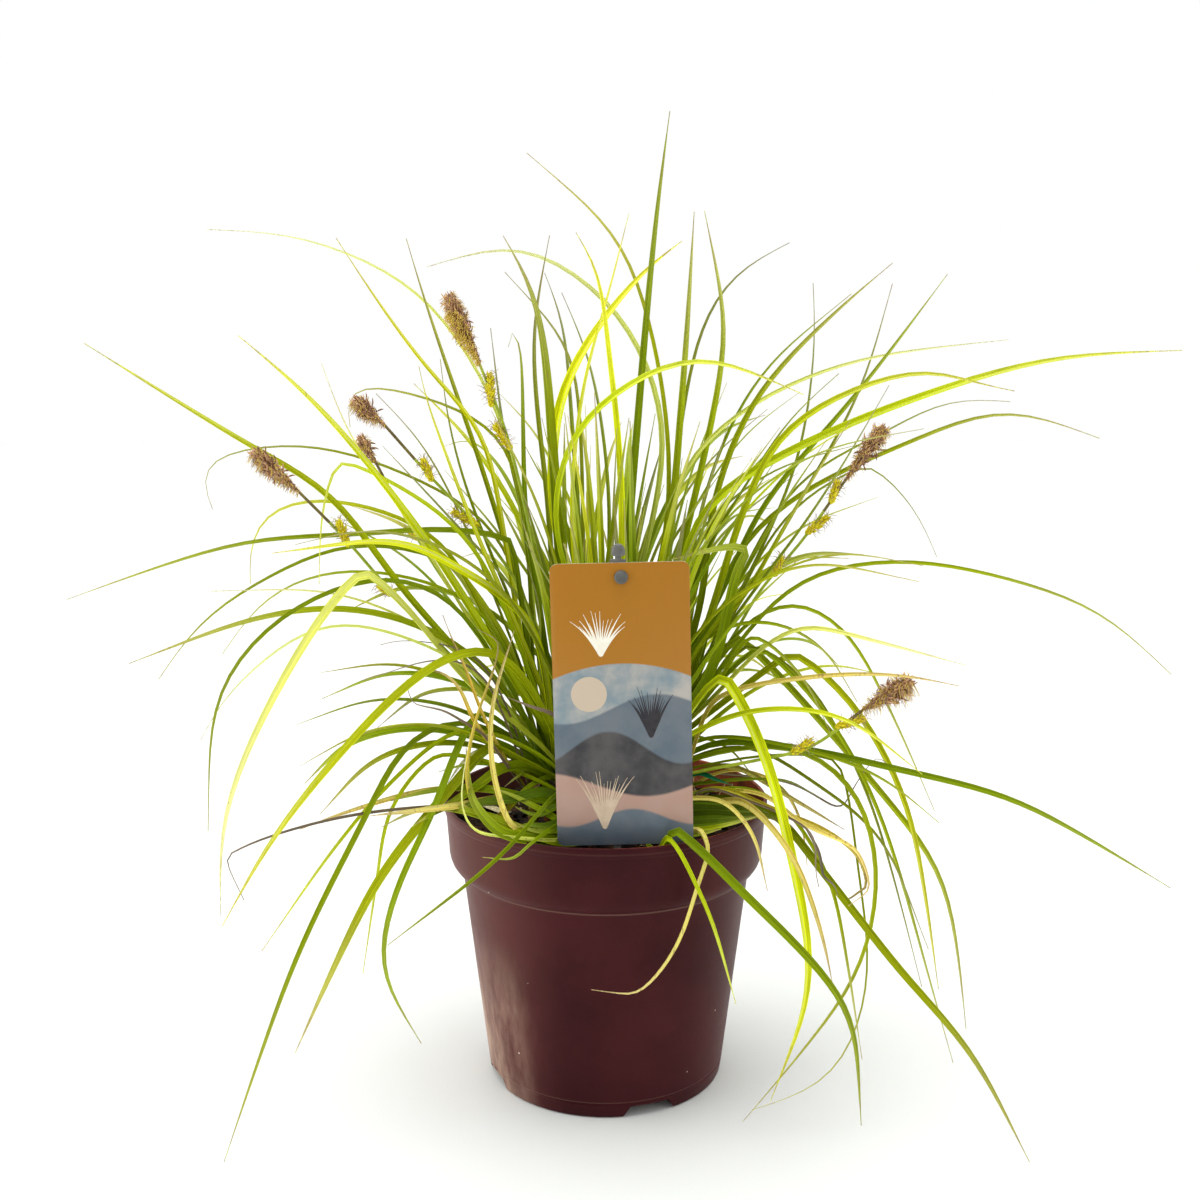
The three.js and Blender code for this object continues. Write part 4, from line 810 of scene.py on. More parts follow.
class Clearing:
    """Bends the leaves a little at a time until they stand clear of each other and of the rest."""

    ROUNDS = 90
    ROUNDS_PER_LOOK = 6
    NEAR = 16
    LONGEST_PUSH = 2
    TAKEN = 0.6
    FREEDOM_AT_ROOT = (0.0, 0.4, 0.8)
    SHARES_LOOKED_AT = (0.25, 0.5, 0.75, 1.0)
    WALL_SPARE = 0.4
    UP = np.array([0.0, 0.0, 1.0])

    def __init__(self, clump: Clump) -> None:
        """Lay the clump's leaves and posts out as strands, one to a segment.

        Args:
            clump: the clump.
        """
        self.leaves = clump.leaves
        self.counts = np.array([len(leaf.line) for leaf in self.leaves])
        longest = int(self.counts.max())
        self.lines = np.stack([np.vstack([leaf.line, np.repeat(leaf.line[-1:], longest - len(leaf.line), 0)])
                               for leaf in self.leaves])
        self.upper = np.stack([leaf.upper_side for leaf in self.leaves])
        middles = []
        for leaf in self.leaves:
            shares = length_shares(leaf.line)
            middles.append((shares[1:] + shares[:-1]) / 2)
        post_nodes, low_posts, high_posts, radii = zip(*clump.posts)
        still = np.zeros(len(post_nodes))
        self.low_posts, self.high_posts = np.stack(low_posts), np.stack(high_posts)
        self.owner = np.repeat(np.arange(len(self.leaves)), self.counts - 1)
        self.step = np.concatenate([np.arange(count - 1) for count in self.counts])
        self.count = len(self.owner)
        sized = [(leaf.width, shares) for leaf, shares in zip(self.leaves, middles)]
        self.half = np.concatenate([blade_width(*one) / 2 for one in sized] + [still])
        self.keel = np.concatenate([blade_keel(*one) for one in sized] + [still])
        self.round = np.concatenate([np.zeros(self.count), radii])
        nodes = [self.leaves[i].node for i in self.owner] + list(post_nodes)
        self.node = np.unique(nodes, return_inverse=True)[1]
        self.leaf = np.concatenate([self.owner, still.astype(int) - 1])
        self.sheathed = np.concatenate([self.step == 0, still == 0])
        self.drawn = np.array([self.leaves[i].drawn for i in self.owner])
        self.freedom = np.array([*self.FREEDOM_AT_ROOT] + [1.0] * longest)
        self.pushes = np.zeros_like(self.lines)

    def refresh(self) -> None:
        """Bring every strand's ends and section up to date with its leaf."""
        normals = carried_frames(self.lines, self.counts, self.upper)[1]
        low, high = self.lines[self.owner, self.step], self.lines[self.owner, self.step + 1]
        ahead = each_unit(high - low)
        normal = square_to(normals[self.owner, self.step] + normals[self.owner, self.step + 1], ahead)
        still = np.zeros_like(self.low_posts)
        self.low, self.high = np.vstack([low, self.low_posts]), np.vstack([high, self.high_posts])
        self.normal, self.across = np.vstack([normal, still]), np.vstack([np.cross(ahead, normal), still])

    def near_pairs(self) -> tuple[np.ndarray, np.ndarray]:
        """Find the pairs of strands of different leaves that are near enough to meet.

        Returns:
            The numbers of the first and of the second strands.
        """
        middle = (self.low + self.high) / 2
        radius = np.sqrt(each_dot(self.high - self.low, self.high - self.low)) / 2
        found = []
        for i in range(self.count):
            rest = slice(i + 1, None)
            apart = middle[rest] - middle[i]
            near = each_dot(apart, apart) < (radius[rest] + radius[i] + self.NEAR) ** 2
            near &= self.leaf[rest] != self.leaf[i]
            kin = (self.node[rest] == self.node[i]) & (
                (self.sheathed[rest] & self.sheathed[i]) | (self.leaf[rest] < 0))
            others = np.nonzero(near & ~kin)[0] + i + 1
            found.append(np.stack([np.full(len(others), i), others]))
        return tuple(np.concatenate(found, 1))

    def reach(self, strands: np.ndarray, way: np.ndarray) -> np.ndarray:
        """Measure how far the strands' sections reach from their lines in a direction.

        Args:
            strands: the strands' numbers.
            way: the direction.

        Returns:
            The reach of each.
        """
        across = np.abs(each_dot(way, self.across[strands])) * self.half[strands]
        below = -each_dot(way, self.normal[strands]) * self.keel[strands]
        return self.round[strands] + np.maximum(across, below)

    def push(self, strands: np.ndarray, share: np.ndarray, way: np.ndarray, amount: np.ndarray) -> None:
        """Add a push at a share along each strand to its leaf's stations.

        Args:
            strands: the strands' numbers; posts among them stay still.
            share: the share along each.
            way: the direction of each push, or of them all.
            amount: the length of each push.
        """
        moving = (strands < self.count) & (amount != 0)
        way = np.broadcast_to(way, (len(strands), 3))[moving]
        strands, share, amount = strands[moving], share[moving], amount[moving]
        leaf, step = self.owner[strands], self.step[strands]
        weight = (1 - share) ** 2 + share ** 2
        shape = self.lines.shape[:2]
        for at, part in ((step, 1 - share), (step + 1, share)):
            size = amount * part / weight * self.freedom[at]
            for axis in range(3):
                self.pushes[:, :, axis] += np.bincount(
                    leaf * shape[1] + at, way[:, axis] * size, shape[0] * shape[1]).reshape(shape)

    def part_pairs(self, a: np.ndarray, b: np.ndarray) -> None:
        """Push pairs of strands apart where they are closer than their sections need.

        Args:
            a: the first strands.
            b: the second strands.
        """
        p, r = self.low[a], self.low[b]
        u, v, w = self.high[a] - p, self.high[b] - r, p - r
        uu, uv, vv, uw, vw = each_dot(u, u), each_dot(u, v), each_dot(v, v), each_dot(u, w), each_dot(v, w)
        slant = uu * vv - uv * uv
        skew = slant > 1e-9
        along = np.where(skew, np.clip((uv * vw - vv * uw) / np.where(skew, slant, 1), 0, 1), 0.5)
        other = np.clip((uv * along + vw) / vv, 0, 1)
        along = np.clip((uv * other - uw) / uu, 0, 1)
        apart = (r + v * other[:, None]) - (p + u * along[:, None])
        size = np.sqrt(each_dot(apart, apart))
        touching = size < 1e-4
        apart[touching] = (0, 0, 1e-3)
        size = np.where(touching, 1e-3, size)
        way = apart / size[:, None]
        lack = np.maximum(self.reach(a, way) + self.reach(b, -way) + BLADE_CLEAR - size, 0)
        lack *= np.where(self.leaf[b] >= 0, 0.5, 1.0)
        self.push(a, along, -way, lack)
        self.push(b, other, way, lack)

    def clear_wall(self, strands: np.ndarray, share: np.ndarray, point: np.ndarray) -> None:
        """Push points of strands out of the pot's wall by the shortest way.

        Args:
            strands: the strands' numbers.
            share: the share along each.
            point: the point there.
        """
        radius = np.maximum(np.hypot(point[:, 0], point[:, 1]), 1e-6)
        out = point * (1, 1, 0) / radius[:, None]
        z = point[:, 2]
        top = POT_HEIGHT + self.reach(strands, -self.UP) + BLADE_CLEAR
        collar = COLLAR_RADIUS + (RIM_RADIUS - COLLAR_RADIUS) * np.clip(
            (z - COLLAR_BOTTOM) / (POT_HEIGHT - COLLAR_BOTTOM), 0, 1)
        body = FOOT_RADIUS + (SHOULDER_RADIUS - FOOT_RADIUS) * np.clip(z / COLLAR_BOTTOM, 0, 1)
        outer = np.where(z > COLLAR_BOTTOM - 3, collar, body)
        outside = outer + self.reach(strands, -out) + BLADE_CLEAR
        inside = outer - POT_WALL - self.WALL_SPARE - self.reach(strands, out) - BLADE_CLEAR
        met = (z < top) & (radius <= outside) & ~((radius < inside) & (z > SOIL_EDGE - 6))
        upward, outward, inward = top - z, outside - radius, radius - inside
        up = met & (upward <= outward) & ((upward <= inward) | (radius > outer))
        away = met & ~up & ((outward <= inward) | (z < SOIL_EDGE))
        back = met & ~up & ~away
        self.push(strands, share, self.UP, np.where(up, upward, 0))
        self.push(strands, share, out, np.where(away, outward, 0))
        self.push(strands, share, -out, np.where(back, inward, 0))

    def clear_box(self, strands: np.ndarray, share: np.ndarray, point: np.ndarray, box: np.ndarray) -> None:
        """Push points of strands out of a box: drawn leaves backwards, the others by the shortest way.

        Args:
            strands: the strands' numbers.
            share: the share along each.
            point: the point there.
            box: the box's low and high corner.
        """
        ways = np.stack([-np.eye(3), np.eye(3)], 1).reshape(6, 3)
        room = np.stack([point - box[0], box[1] - point], 2).reshape(len(point), 6)
        against = np.stack([self.reach(strands, -way) for way in ways])
        depths = room.T + against + BLADE_CLEAR
        drawn = self.drawn[strands]
        met = np.all((depths > 0) | (drawn & (np.arange(6) == 2)[:, None]), 0)
        best = np.where(drawn, 3, np.argmin(depths, 0))
        self.push(strands, share, ways[best], np.where(met, depths[best, np.arange(len(point))], 0))

    def clear_fixtures(self) -> None:
        """Keep the strands out of the pot, the soil, the label and the floor."""
        strands = np.arange(self.count)
        down = self.reach(strands, -self.UP) + BLADE_CLEAR
        for part in self.SHARES_LOOKED_AT:
            share = np.full(self.count, part)
            point = self.low[:self.count] + (self.high - self.low)[:self.count] * part
            self.push(strands, share, self.UP, np.maximum(down - point[:, 2], 0))
            radius = np.hypot(point[:, 0], point[:, 1])
            bed = SOIL_CROWN + (SOIL_EDGE - SOIL_CROWN) * np.clip(radius / CROWN_RADIUS, 0, 1) + down
            sunk = (radius < RIM_RADIUS - 6) & (point[:, 2] < bed)
            self.push(strands, share, self.UP, np.where(sunk, bed - point[:, 2], 0))
            self.clear_wall(strands, share, point)
            self.clear_box(strands, share, point, CARD_BOX)
            self.clear_box(strands, share, point, STAKE_BOX)

    def bend(self) -> None:
        """Bend the leaves, and give each its new line."""
        for number in range(self.ROUNDS):
            self.refresh()
            if number % self.ROUNDS_PER_LOOK == 0:
                first, second = self.near_pairs()
            self.pushes[:] = 0
            self.part_pairs(first, second)
            self.clear_fixtures()
            size = np.sqrt(each_dot(self.pushes, self.pushes))
            stride = np.where(size > self.LONGEST_PUSH, self.LONGEST_PUSH / np.maximum(size, 1e-9), 1.0)
            self.lines += self.pushes * (stride * self.TAKEN)[..., None]
            for line, count in zip(self.lines, self.counts):
                line[count:] = line[count - 1]
        normals = carried_frames(self.lines, self.counts, self.upper)[1]
        for leaf, line, normal, count in zip(self.leaves, self.lines, normals, self.counts):
            leaf.line, leaf.normals = line[:count].copy(), normal[:count].copy()


# ---- finishes


class Field:
    """What a material works out at each point: a value, a vector or a colour."""

    def __init__(self, socket: bpy.types.NodeSocket) -> None:
        """Stand on the socket that gives it."""
        self.socket = socket

    @classmethod
    def of(cls, tree: bpy.types.NodeTree, kind: str, inputs: "Inputs", output: int | str = 0,
           **settings: str) -> "Field":
        """Add a node that works a field out.

        Args:
            tree: the material's nodes.
            kind: the node's kind.
            inputs: what is joined to its inputs or stands on them.
            output: which output gives the field.
            settings: the node's settings.

        Returns:
            The field.
        """
        node = tree.nodes.new("ShaderNode" + kind)
        for key, value in settings.items():
            setattr(node, key, value)
        for key, value in inputs.items():
            feed(node.inputs[key], value)
        return cls(node.outputs[output])

    def math(self, kind: str, other: "Field | float" = 0.0) -> "Field":
        """The result of a Math node for this and another."""
        return Field.of(self.socket.id_data, "Math", {0: self, 1: other}, operation=kind)

    def __add__(self, other: "Field | float") -> "Field":
        """The sum."""
        return self.math("ADD", other)

    def __sub__(self, other: "Field | float") -> "Field":
        """The difference."""
        return self.math("SUBTRACT", other)

    def __mul__(self, other: "Field | float") -> "Field":
        """The product."""
        return self.math("MULTIPLY", other)

    def __abs__(self) -> "Field":
        """The value without its sign."""
        return self.math("ABSOLUTE")

    def step(self, low: float, high: float) -> "Field":
        """Rise smoothly from 0 to 1.

        Args:
            low: where it is still 0.
            high: where it reaches 1; it may be the lesser.

        Returns:
            The field.
        """
        first, last = sorted((low, high))
        start, end = (1.0, 0.0) if low > high else (0.0, 1.0)
        return Field.of(self.socket.id_data, "MapRange", {0: self, 1: first, 2: last, 3: start, 4: end},
                        interpolation_type="SMOOTHSTEP")

    def parts(self) -> list["Field"]:
        """The three parts of a vector or a colour."""
        first = Field.of(self.socket.id_data, "SeparateXYZ", {0: self})
        return [Field(socket) for socket in first.socket.node.outputs]


Inputs = dict[int | str, Field | float | Sequence[float]]


def feed(target: bpy.types.NodeSocket, value: Field | float | Sequence[float]) -> None:
    """Join a field to a socket, or stand a value on it.

    Args:
        target: the socket.
        value: the field or the value.
    """
    if isinstance(value, Field):
        target.id_data.links.new(value.socket, target)
    else:
        target.default_value = value


class Paint:
    """A material, with short ways to add fields and to put them on its shader."""

    def __init__(self, name: str, values: dict[str, float | Colour]) -> None:
        """Start a material with its Principled shader.

        Args:
            name: the material's name.
            values: what stands on the shader's own sockets.
        """
        self.material = bpy.data.materials.new(name)
        self.material.use_nodes = True
        self.tree = self.material.node_tree
        self.tree.nodes.clear()
        surface = self.field("BsdfPrincipled", values)
        self.shader = surface.socket.node
        feed(self.tree.nodes.new("ShaderNodeOutputMaterial").inputs[0], surface)

    def field(self, kind: str, inputs: Inputs, output: int | str = 0, **settings: str) -> Field:
        """Add a node to the material, as Field.of does."""
        return Field.of(self.tree, kind, inputs, output, **settings)

    def wear(self, socket: str, value: Field) -> None:
        """Join a field to a socket of the shader."""
        feed(self.shader.inputs[socket], value)

    def place(self, scale: Point = (1, 1, 1), move: Point = (0, 0, 0)) -> Field:
        """The piece's own coordinates in metres, scaled and moved."""
        own = self.field("TexCoord", {}, "Object")
        return self.field("Mapping", {0: own, "Location": move, "Scale": scale})

    def noise(self, place: Field, scale: float, detail: float = 3.0, rough: float = 0.55) -> Field:
        """A cloudy value, 0 to 1."""
        return self.field("TexNoise", {"Vector": place, "Scale": scale, "Detail": detail, "Roughness": rough})

    def cells(self, place: Field, scale: float) -> Field:
        """Distance to the nearest of some scattered points."""
        return self.field("TexVoronoi", {"Vector": place, "Scale": scale}, "Distance")

    def blend(self, share: Field | float, low: Field | Colour, high: Field | Colour,
              kind: str = "MIX") -> Field:
        """One colour laid over another by a share."""
        return self.field("Mix", {0: share, 6: low, 7: high}, 2, data_type="RGBA", blend_type=kind)

    def bump(self, height: Field, strength: float, depth: float) -> None:
        """Give the surface relief, its depth in metres."""
        self.wear("Normal", self.field("Bump", {"Strength": strength, "Distance": depth, "Height": height}))


@dataclass(frozen=True)
class LeafFinish:
    """A leaf's skin: fine veins, a paler midrib, and freckles that gather at a withered tip, with painted
    light on one half of the fold, a painted highlight along one edge and, on bright leaves, a pale painted
    sheen stripe.
    """

    name: str
    roughness: float
    freckle: Colour
    freckles: float
    glow: float
    # painted sheen: the pale colour of the stripe painted on bright leaves
    stripe: Colour = shade(222, 226, 138)

    def make(self) -> Material:
        """Make the material.

        Returns:
            The material.
        """
        paint = Paint(self.name, {"Roughness": self.roughness, "Specular IOR Level": 0.08,
                                  "Subsurface Weight": self.glow, "Subsurface Scale": 0.001})
        across, along, _ = paint.field("UVMap", {}, uv_map="blade").parts()
        tint = paint.field("Attribute", {}, "Color", attribute_name="tint")
        red = tint.parts()[0]
        streak = paint.noise(paint.place((60, 60, 9)), 14)
        vein = (across * 62.0).math("SINE")
        fibres = paint.field("CombineXYZ", {0: across * 13.0, 1: along * 2.2, 2: red * 30.0})
        fibre = paint.noise(fibres, 1.0, 2).step(0.36, 0.64)
        # Painted light: one half of the folded blade is made lighter than the other, and a thin painted
        # highlight runs along one edge.
        painted_light_half, painted_edge_highlight = across.step(0.44, 0.56), across.step(0.10, 0.03)
        midrib = abs(across - 0.5).step(0.09, 0.02)
        cloud = paint.noise(paint.place(), 60, 4)
        light = 0.58
        for layer, strength in ((fibre, 0.36), (painted_light_half, 0.24), (vein, 0.05), (cloud, 0.3),
                                (painted_edge_highlight, 0.34), (midrib, 0.26)):
            light = layer * strength + light
        colour = paint.blend(1.0, tint, light, "MULTIPLY")
        # Painted sheen: a pale stripe on the lighter half of bright leaves.
        sheen_band = abs(across - 0.70).step(0.17, 0.05) * red.step(0.36, 0.60)
        colour = paint.blend(sheen_band * 0.5, colour, self.stripe)
        worn = along.step(0.86, 1.0) * streak.step(0.40, 0.62)
        spots = streak.step(0.70 - self.freckles, 0.78 - self.freckles)
        share = (worn * 0.7).math("MAXIMUM", spots * 0.55)
        paint.wear("Base Color", paint.blend(share, colour, self.freckle))
        paint.bump(vein, 0.25, 0.0001)
        return paint.material


@dataclass(frozen=True)
class PotPlastic:
    """Satin maroon plastic, recycled: cloudy, with a few pale specks and a dusty smear low on the left. Its
    left and right sides are blended paler as painted light, thin painted highlight lines run round it at the
    collar's crease, under the rim and at the foot groove, and the inner wall on the right above the soil is
    mottled lighter, partly soil stain and partly painted light.
    """

    name: str = "maroon_plastic"
    body: Colour = shade(52, 15, 19)
    cloudy: Colour = shade(68, 24, 27)
    # colour of the dusty smear low on the left, and of the painted highlight lines
    dust_and_highlight: Colour = shade(196, 164, 142)
    # painted light: the paler pink that the pot's left side, and less its right side, are blended towards
    painted_side_light: Colour = shade(210, 138, 124)
    # partly soil stain, partly painted light: the lighter red-brown of the inner wall's right side
    stain_and_painted_light: Colour = shade(168, 84, 54)
    speck: Colour = shade(214, 196, 186)
    # painted highlights: heights in metres and strengths of thin pale lines at the collar's crease, under the
    # rim and at the foot groove
    painted_highlight_lines: tuple[tuple[float, float], ...] = ((0.0940, 0.13), (0.1215, 0.03), (0.0070, 0.08))

    def make(self) -> Material:
        """Make the material.

        Returns:
            The material.
        """
        paint = Paint(self.name, {"Specular IOR Level": 0.08})
        place = paint.place()
        x, y, z = place.parts()
        colour = paint.blend(paint.noise(place, 22, 5).step(0.3, 0.75), self.body, self.cloudy)
        # Painted light: the left side, and a little the right side, blend towards a paler pink, standing in
        # for the lamp light and sheen there.
        side_light_share = x.step(-0.014, -0.058) * 0.11 + x.step(0.030, 0.062) * 0.05
        colour = paint.blend(side_light_share, colour, self.painted_side_light)
        # Partly soil stain, partly painted light: above the soil, the inner wall's right side is mottled with
        # a lighter red-brown that also stands in for the light that the leaves keep off it.
        level = paint.field("VectorMath", {0: place, 1: (1, 1, 0)}, operation="MULTIPLY")
        radius = paint.field("VectorMath", {0: level}, "Value", operation="LENGTH")
        within = (radius + z * -0.096).step(0.0573, 0.0570) * z.step(0.1005, 0.103)
        stain_and_light_mottle = paint.noise(place, 140, 4).step(0.30, 0.56) * x.step(-0.02, 0.02)
        colour = paint.blend(within * stain_and_light_mottle, colour, self.stain_and_painted_light)
        low_left = z.step(0.078, 0.026) * ((x + y * -0.35).step(-0.009, -0.040) * y.step(0.030, -0.020))
        smear = paint.noise(paint.place((80, 80, 22)), 1.0, 6, 0.62).step(0.30, 0.84)
        colour = paint.blend(low_left * smear, colour, self.dust_and_highlight)
        # Painted highlights: thin pale lines round the pot at the collar's crease, under the rim and at the
        # foot groove.
        for height, strength in self.painted_highlight_lines:
            colour = paint.blend(abs(z - height).step(0.0005, 0.0002) * strength, colour, self.dust_and_highlight)
        specks = paint.cells(place, 150).step(0.075, 0.045) * paint.noise(place, 38, 1).step(0.60, 0.66)
        paint.wear("Base Color", paint.blend(specks, colour, self.speck))
        paint.wear("Roughness", paint.noise(place, 90, 4) * 0.16 + 0.34)
        paint.bump(paint.noise(place, 420), 0.12, 0.0003)
        return paint.material


@dataclass(frozen=True)
class PottingSoil:
    """Dark potting soil: peat with brown fibres and a little grit."""

    name: str = "potting_soil"
    peat: Colour = shade(22, 15, 10)
    fibre: Colour = shade(92, 60, 38)
    grit: Colour = shade(128, 116, 98)

    def make(self) -> Material:
        """Make the material.

        Returns:
            The material.
        """
        paint = Paint(self.name, {"Roughness": 0.95, "Specular IOR Level": 0.15})
        place = paint.place()
        colour = paint.blend(paint.noise(place, 190, 6, 0.7).step(0.45, 0.72), self.peat, self.fibre)
        paint.wear("Base Color", paint.blend(paint.cells(place, 330).step(0.12, 0.06), colour, self.grit))
        paint.bump(paint.noise(place, 260, 6, 0.7), 0.9, 0.0012)
        return paint.material


@dataclass(frozen=True)
class PrintedCard:
    """The label's printed face: a warm panel over soft hills, on a white card."""

    name: str = "printed_card"
    panel: Colour = shade(167, 110, 17)
    sky: Colour = shade(120, 138, 146)
    haze: Colour = shade(176, 170, 162)
    hill: Colour = shade(84, 98, 110)
    night: Colour = shade(34, 32, 38)
    sand: Colour = shade(172, 136, 120)
    card: Colour = shade(226, 226, 222)
    moon: Colour = shade(196, 178, 156)
    disc_middle: Point = (-13.0, 0.0, 5.0)
    disc_radius: float = 7.0
    edge: float = 0.006

    def make(self) -> Material:
        """Make the material.

        Returns:
            The material.
        """
        paint = Paint(self.name, {"Roughness": 0.38, "Specular IOR Level": 0.4, "Coat Weight": 0.12,
                                  "Coat Roughness": 0.25})
        place = paint.place(move=(-CARD_X * MM, -CARD_FRONT * MM, -CARD_Z * MM))
        square = paint.field("Mapping", {0: place, "Rotation": (0, CARD_ROLL * DEGREE, 0)})
        x, depth, z = square.parts()
        x, z = x.math("DIVIDE", CARD_WIDTH / 2 * MM), z.math("DIVIDE", CARD_HEIGHT / 2 * MM)
        soft = paint.noise(place, 70, 4)
        colour = paint.blend(soft.step(0.35, 0.7), self.sky, self.haze)
        crests = []
        for base, swing, speed, start, tone in (
                (-0.02, 0.10, 2.3, 0.4, self.hill), (-0.30, 0.12, 2.9, 2.2, self.night),
                (-0.56, 0.09, 2.1, 4.0, self.sand), (-0.80, 0.06, 3.4, 1.2, self.hill)):
            crests.append((x * speed + start).math("SINE") * swing + base)
            mottled = paint.blend(soft.step(0.3, 0.7) * 0.14, tone, self.haze)
            colour = paint.blend((crests[-1] - z).step(-2 * self.edge, 2 * self.edge), colour, mottled)
        middle = tuple(value * MM for value in self.disc_middle)
        away = paint.field("VectorMath", {0: square, 1: middle}, "Value", operation="DISTANCE")
        disc = away.step((self.disc_radius + 0.1) * MM, (self.disc_radius - 0.1) * MM)
        colour = paint.blend(disc * (z - crests[0]).step(-self.edge, self.edge), colour, self.moon)
        bow = x * x * -0.10 + 0.30
        colour = paint.blend((z - bow).step(-self.edge, self.edge), colour, self.panel)
        paint.wear("Base Color", paint.blend(depth.step(0.0004, 0.0002), self.card, colour))
        paint.bump(paint.noise(place, 500, 2), 0.04, 0.0001)
        return paint.material


@dataclass(frozen=True)
class SpeckledFinish:
    """A plain stuff with two tones that run into each other, and some relief."""

    name: str
    low: Colour
    high: Colour
    roughness: float
    scale: float
    relief: float = 0.2

    def make(self) -> Material:
        """Make the material.

        Returns:
            The material.
        """
        paint = Paint(self.name, {"Roughness": self.roughness, "Specular IOR Level": 0.35})
        place = paint.place()
        cloud = paint.noise(place, self.scale, 4).step(0.3, 0.7)
        paint.wear("Base Color", paint.blend(cloud, self.low, self.high))
        paint.bump(paint.noise(place, self.scale * 4), self.relief, 0.0002)
        return paint.material


@dataclass(frozen=True)
class StageFinish:
    """The studio's pale floor."""

    name: str = "studio_floor"
    tone: Colour = shade(221, 223, 220)
    lighter: Colour = shade(225, 227, 224)

    def make(self) -> Material:
        """Make the material.

        Returns:
            The material.
        """
        paint = Paint(self.name, {"Roughness": 0.9, "Specular IOR Level": 0.1})
        paint.wear("Base Color", paint.blend(paint.noise(paint.place(), 3, 2), self.tone, self.lighter))
        return paint.material


# ---- setting pieces down


def mesh_of(bm: BMesh, name: str) -> bpy.types.Mesh:
    """Make a mesh of a bmesh, and free the bmesh.

    Args:
        bm: the shape.
        name: the mesh's name.

    Returns:
        The mesh.
    """
    mesh = bpy.data.meshes.new(name)
    bm.to_mesh(mesh)
    bm.free()
    return mesh


def put_in_scene(name: str, data: bpy.types.ID) -> bpy.types.Object:
    """Make an object of a mesh, a light or a camera.

    Args:
        name: the object's name.
        data: what it is made of.

    Returns:
        The object, in the scene.
    """
    made = bpy.data.objects.new(name, data)
    bpy.context.scene.collection.objects.link(made)
    return made


def set_down(name: str, bm: BMesh, finishes: Sequence[Material], slot: str, nodes: Sequence[str] = (),
             outward: bool = True) -> None:
    """Make an object of a finished bmesh, in metres, and set it on its body.

    Args:
        name: the piece's name.
        bm: its shape in millimetres, where it stands; it is freed.
        finishes: its materials.
        slot: not used.
        nodes: the nodes that it stands for.
        outward: whether its faces are turned outwards first.
    """
    if outward:
        bmesh.ops.recalc_face_normals(bm, faces=bm.faces)
    bmesh.ops.scale(bm, vec=(MM, MM, MM), verts=bm.verts)
    piece = put_in_scene(name, mesh_of(bm, name))
    for finish in finishes:
        piece.data.materials.append(finish)
    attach(piece, BODY)
    if nodes:
        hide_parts(*nodes)
    LOG.info("%s: %d faces", name, len(piece.data.polygons))


def smooth_all(bm: BMesh, sharp_over: float) -> None:
    """Shade smoothly, with a crease at some edges.

    Args:
        bm: the shape.
        sharp_over: how many degrees an edge turns where it is a crease.
    """
    for face in bm.faces:
        face.smooth = True
    for edge in bm.edges:
        if len(edge.link_faces) == 2 and edge.calc_face_angle(0.0) > sharp_over * DEGREE:
            edge.smooth = False


def soften_edges(bm: BMesh, edges: Sequence[bmesh.types.BMEdge], offset: float, segments: int = 2) -> None:
    """Bevel some edges."""
    bmesh.ops.bevel(bm, geom=edges, offset=offset, segments=segments, affect="EDGES", profile=0.5,
                    material=-1)


def fresh_grid(bm: BMesh, across: int, along: int) -> tuple[set[bmesh.types.BMVert], Verts]:
    """Add a flat grid from -1 to 1 both ways.

    Args:
        bm: where it is made.
        across: how many faces it has one way.
        along: how many it has the other way.

    Returns:
        The vertices that were there before, and the grid's own.
    """
    before = set(bm.verts)
    bmesh.ops.create_grid(bm, x_segments=across, y_segments=along, size=1.0)
    return before, [v for v in bm.verts if v not in before]


def turned(bm: BMesh, outline: Sequence[tuple[float, float]], steps: int) -> Verts:
    """Turn an outline of (radius, height) about the upright axis.

    Args:
        bm: where the shape is made.
        outline: its points in order; ends on the axis close it.
        steps: how many sides it has.

    Returns:
        The new vertices.
    """
    before = set(bm.verts)
    corners = [bm.verts.new((radius, 0.0, height)) for radius, height in outline]
    edges = [bm.edges.new(pair) for pair in zip(corners[:-1], corners[1:])]
    bmesh.ops.spin(bm, geom=corners + edges, cent=(0, 0, 0), axis=(0, 0, 1), angle=2 * math.pi, steps=steps,
                   use_merge=True)
    made = [v for v in bm.verts if v not in before]
    bmesh.ops.remove_doubles(bm, verts=made, dist=1e-4)
    return [v for v in bm.verts if v not in before]


def cut_away(body: BMesh, cut: BMesh) -> BMesh:
    """Take one closed shape out of another, and free both.

    Args:
        body: the shape that stays.
        cut: what is taken out of it.

    Returns:
        The result.
    """
    bmesh.ops.recalc_face_normals(cut, faces=cut.faces)
    blocks = [put_in_scene("work", mesh_of(bm, "work")) for bm in (body, cut)]
    taking = blocks[0].modifiers.new("cut", "BOOLEAN")
    taking.operation, taking.object, taking.solver = "DIFFERENCE", blocks[1], "EXACT"
    bpy.context.view_layer.update()
    made = bpy.data.meshes.new_from_object(blocks[0].evaluated_get(bpy.context.evaluated_depsgraph_get()))
    result = bmesh.new()
    result.from_mesh(made)
    for mesh in [block.data for block in blocks] + [made]:
        bpy.data.meshes.remove(mesh)
    return result


# ---- pot and soil


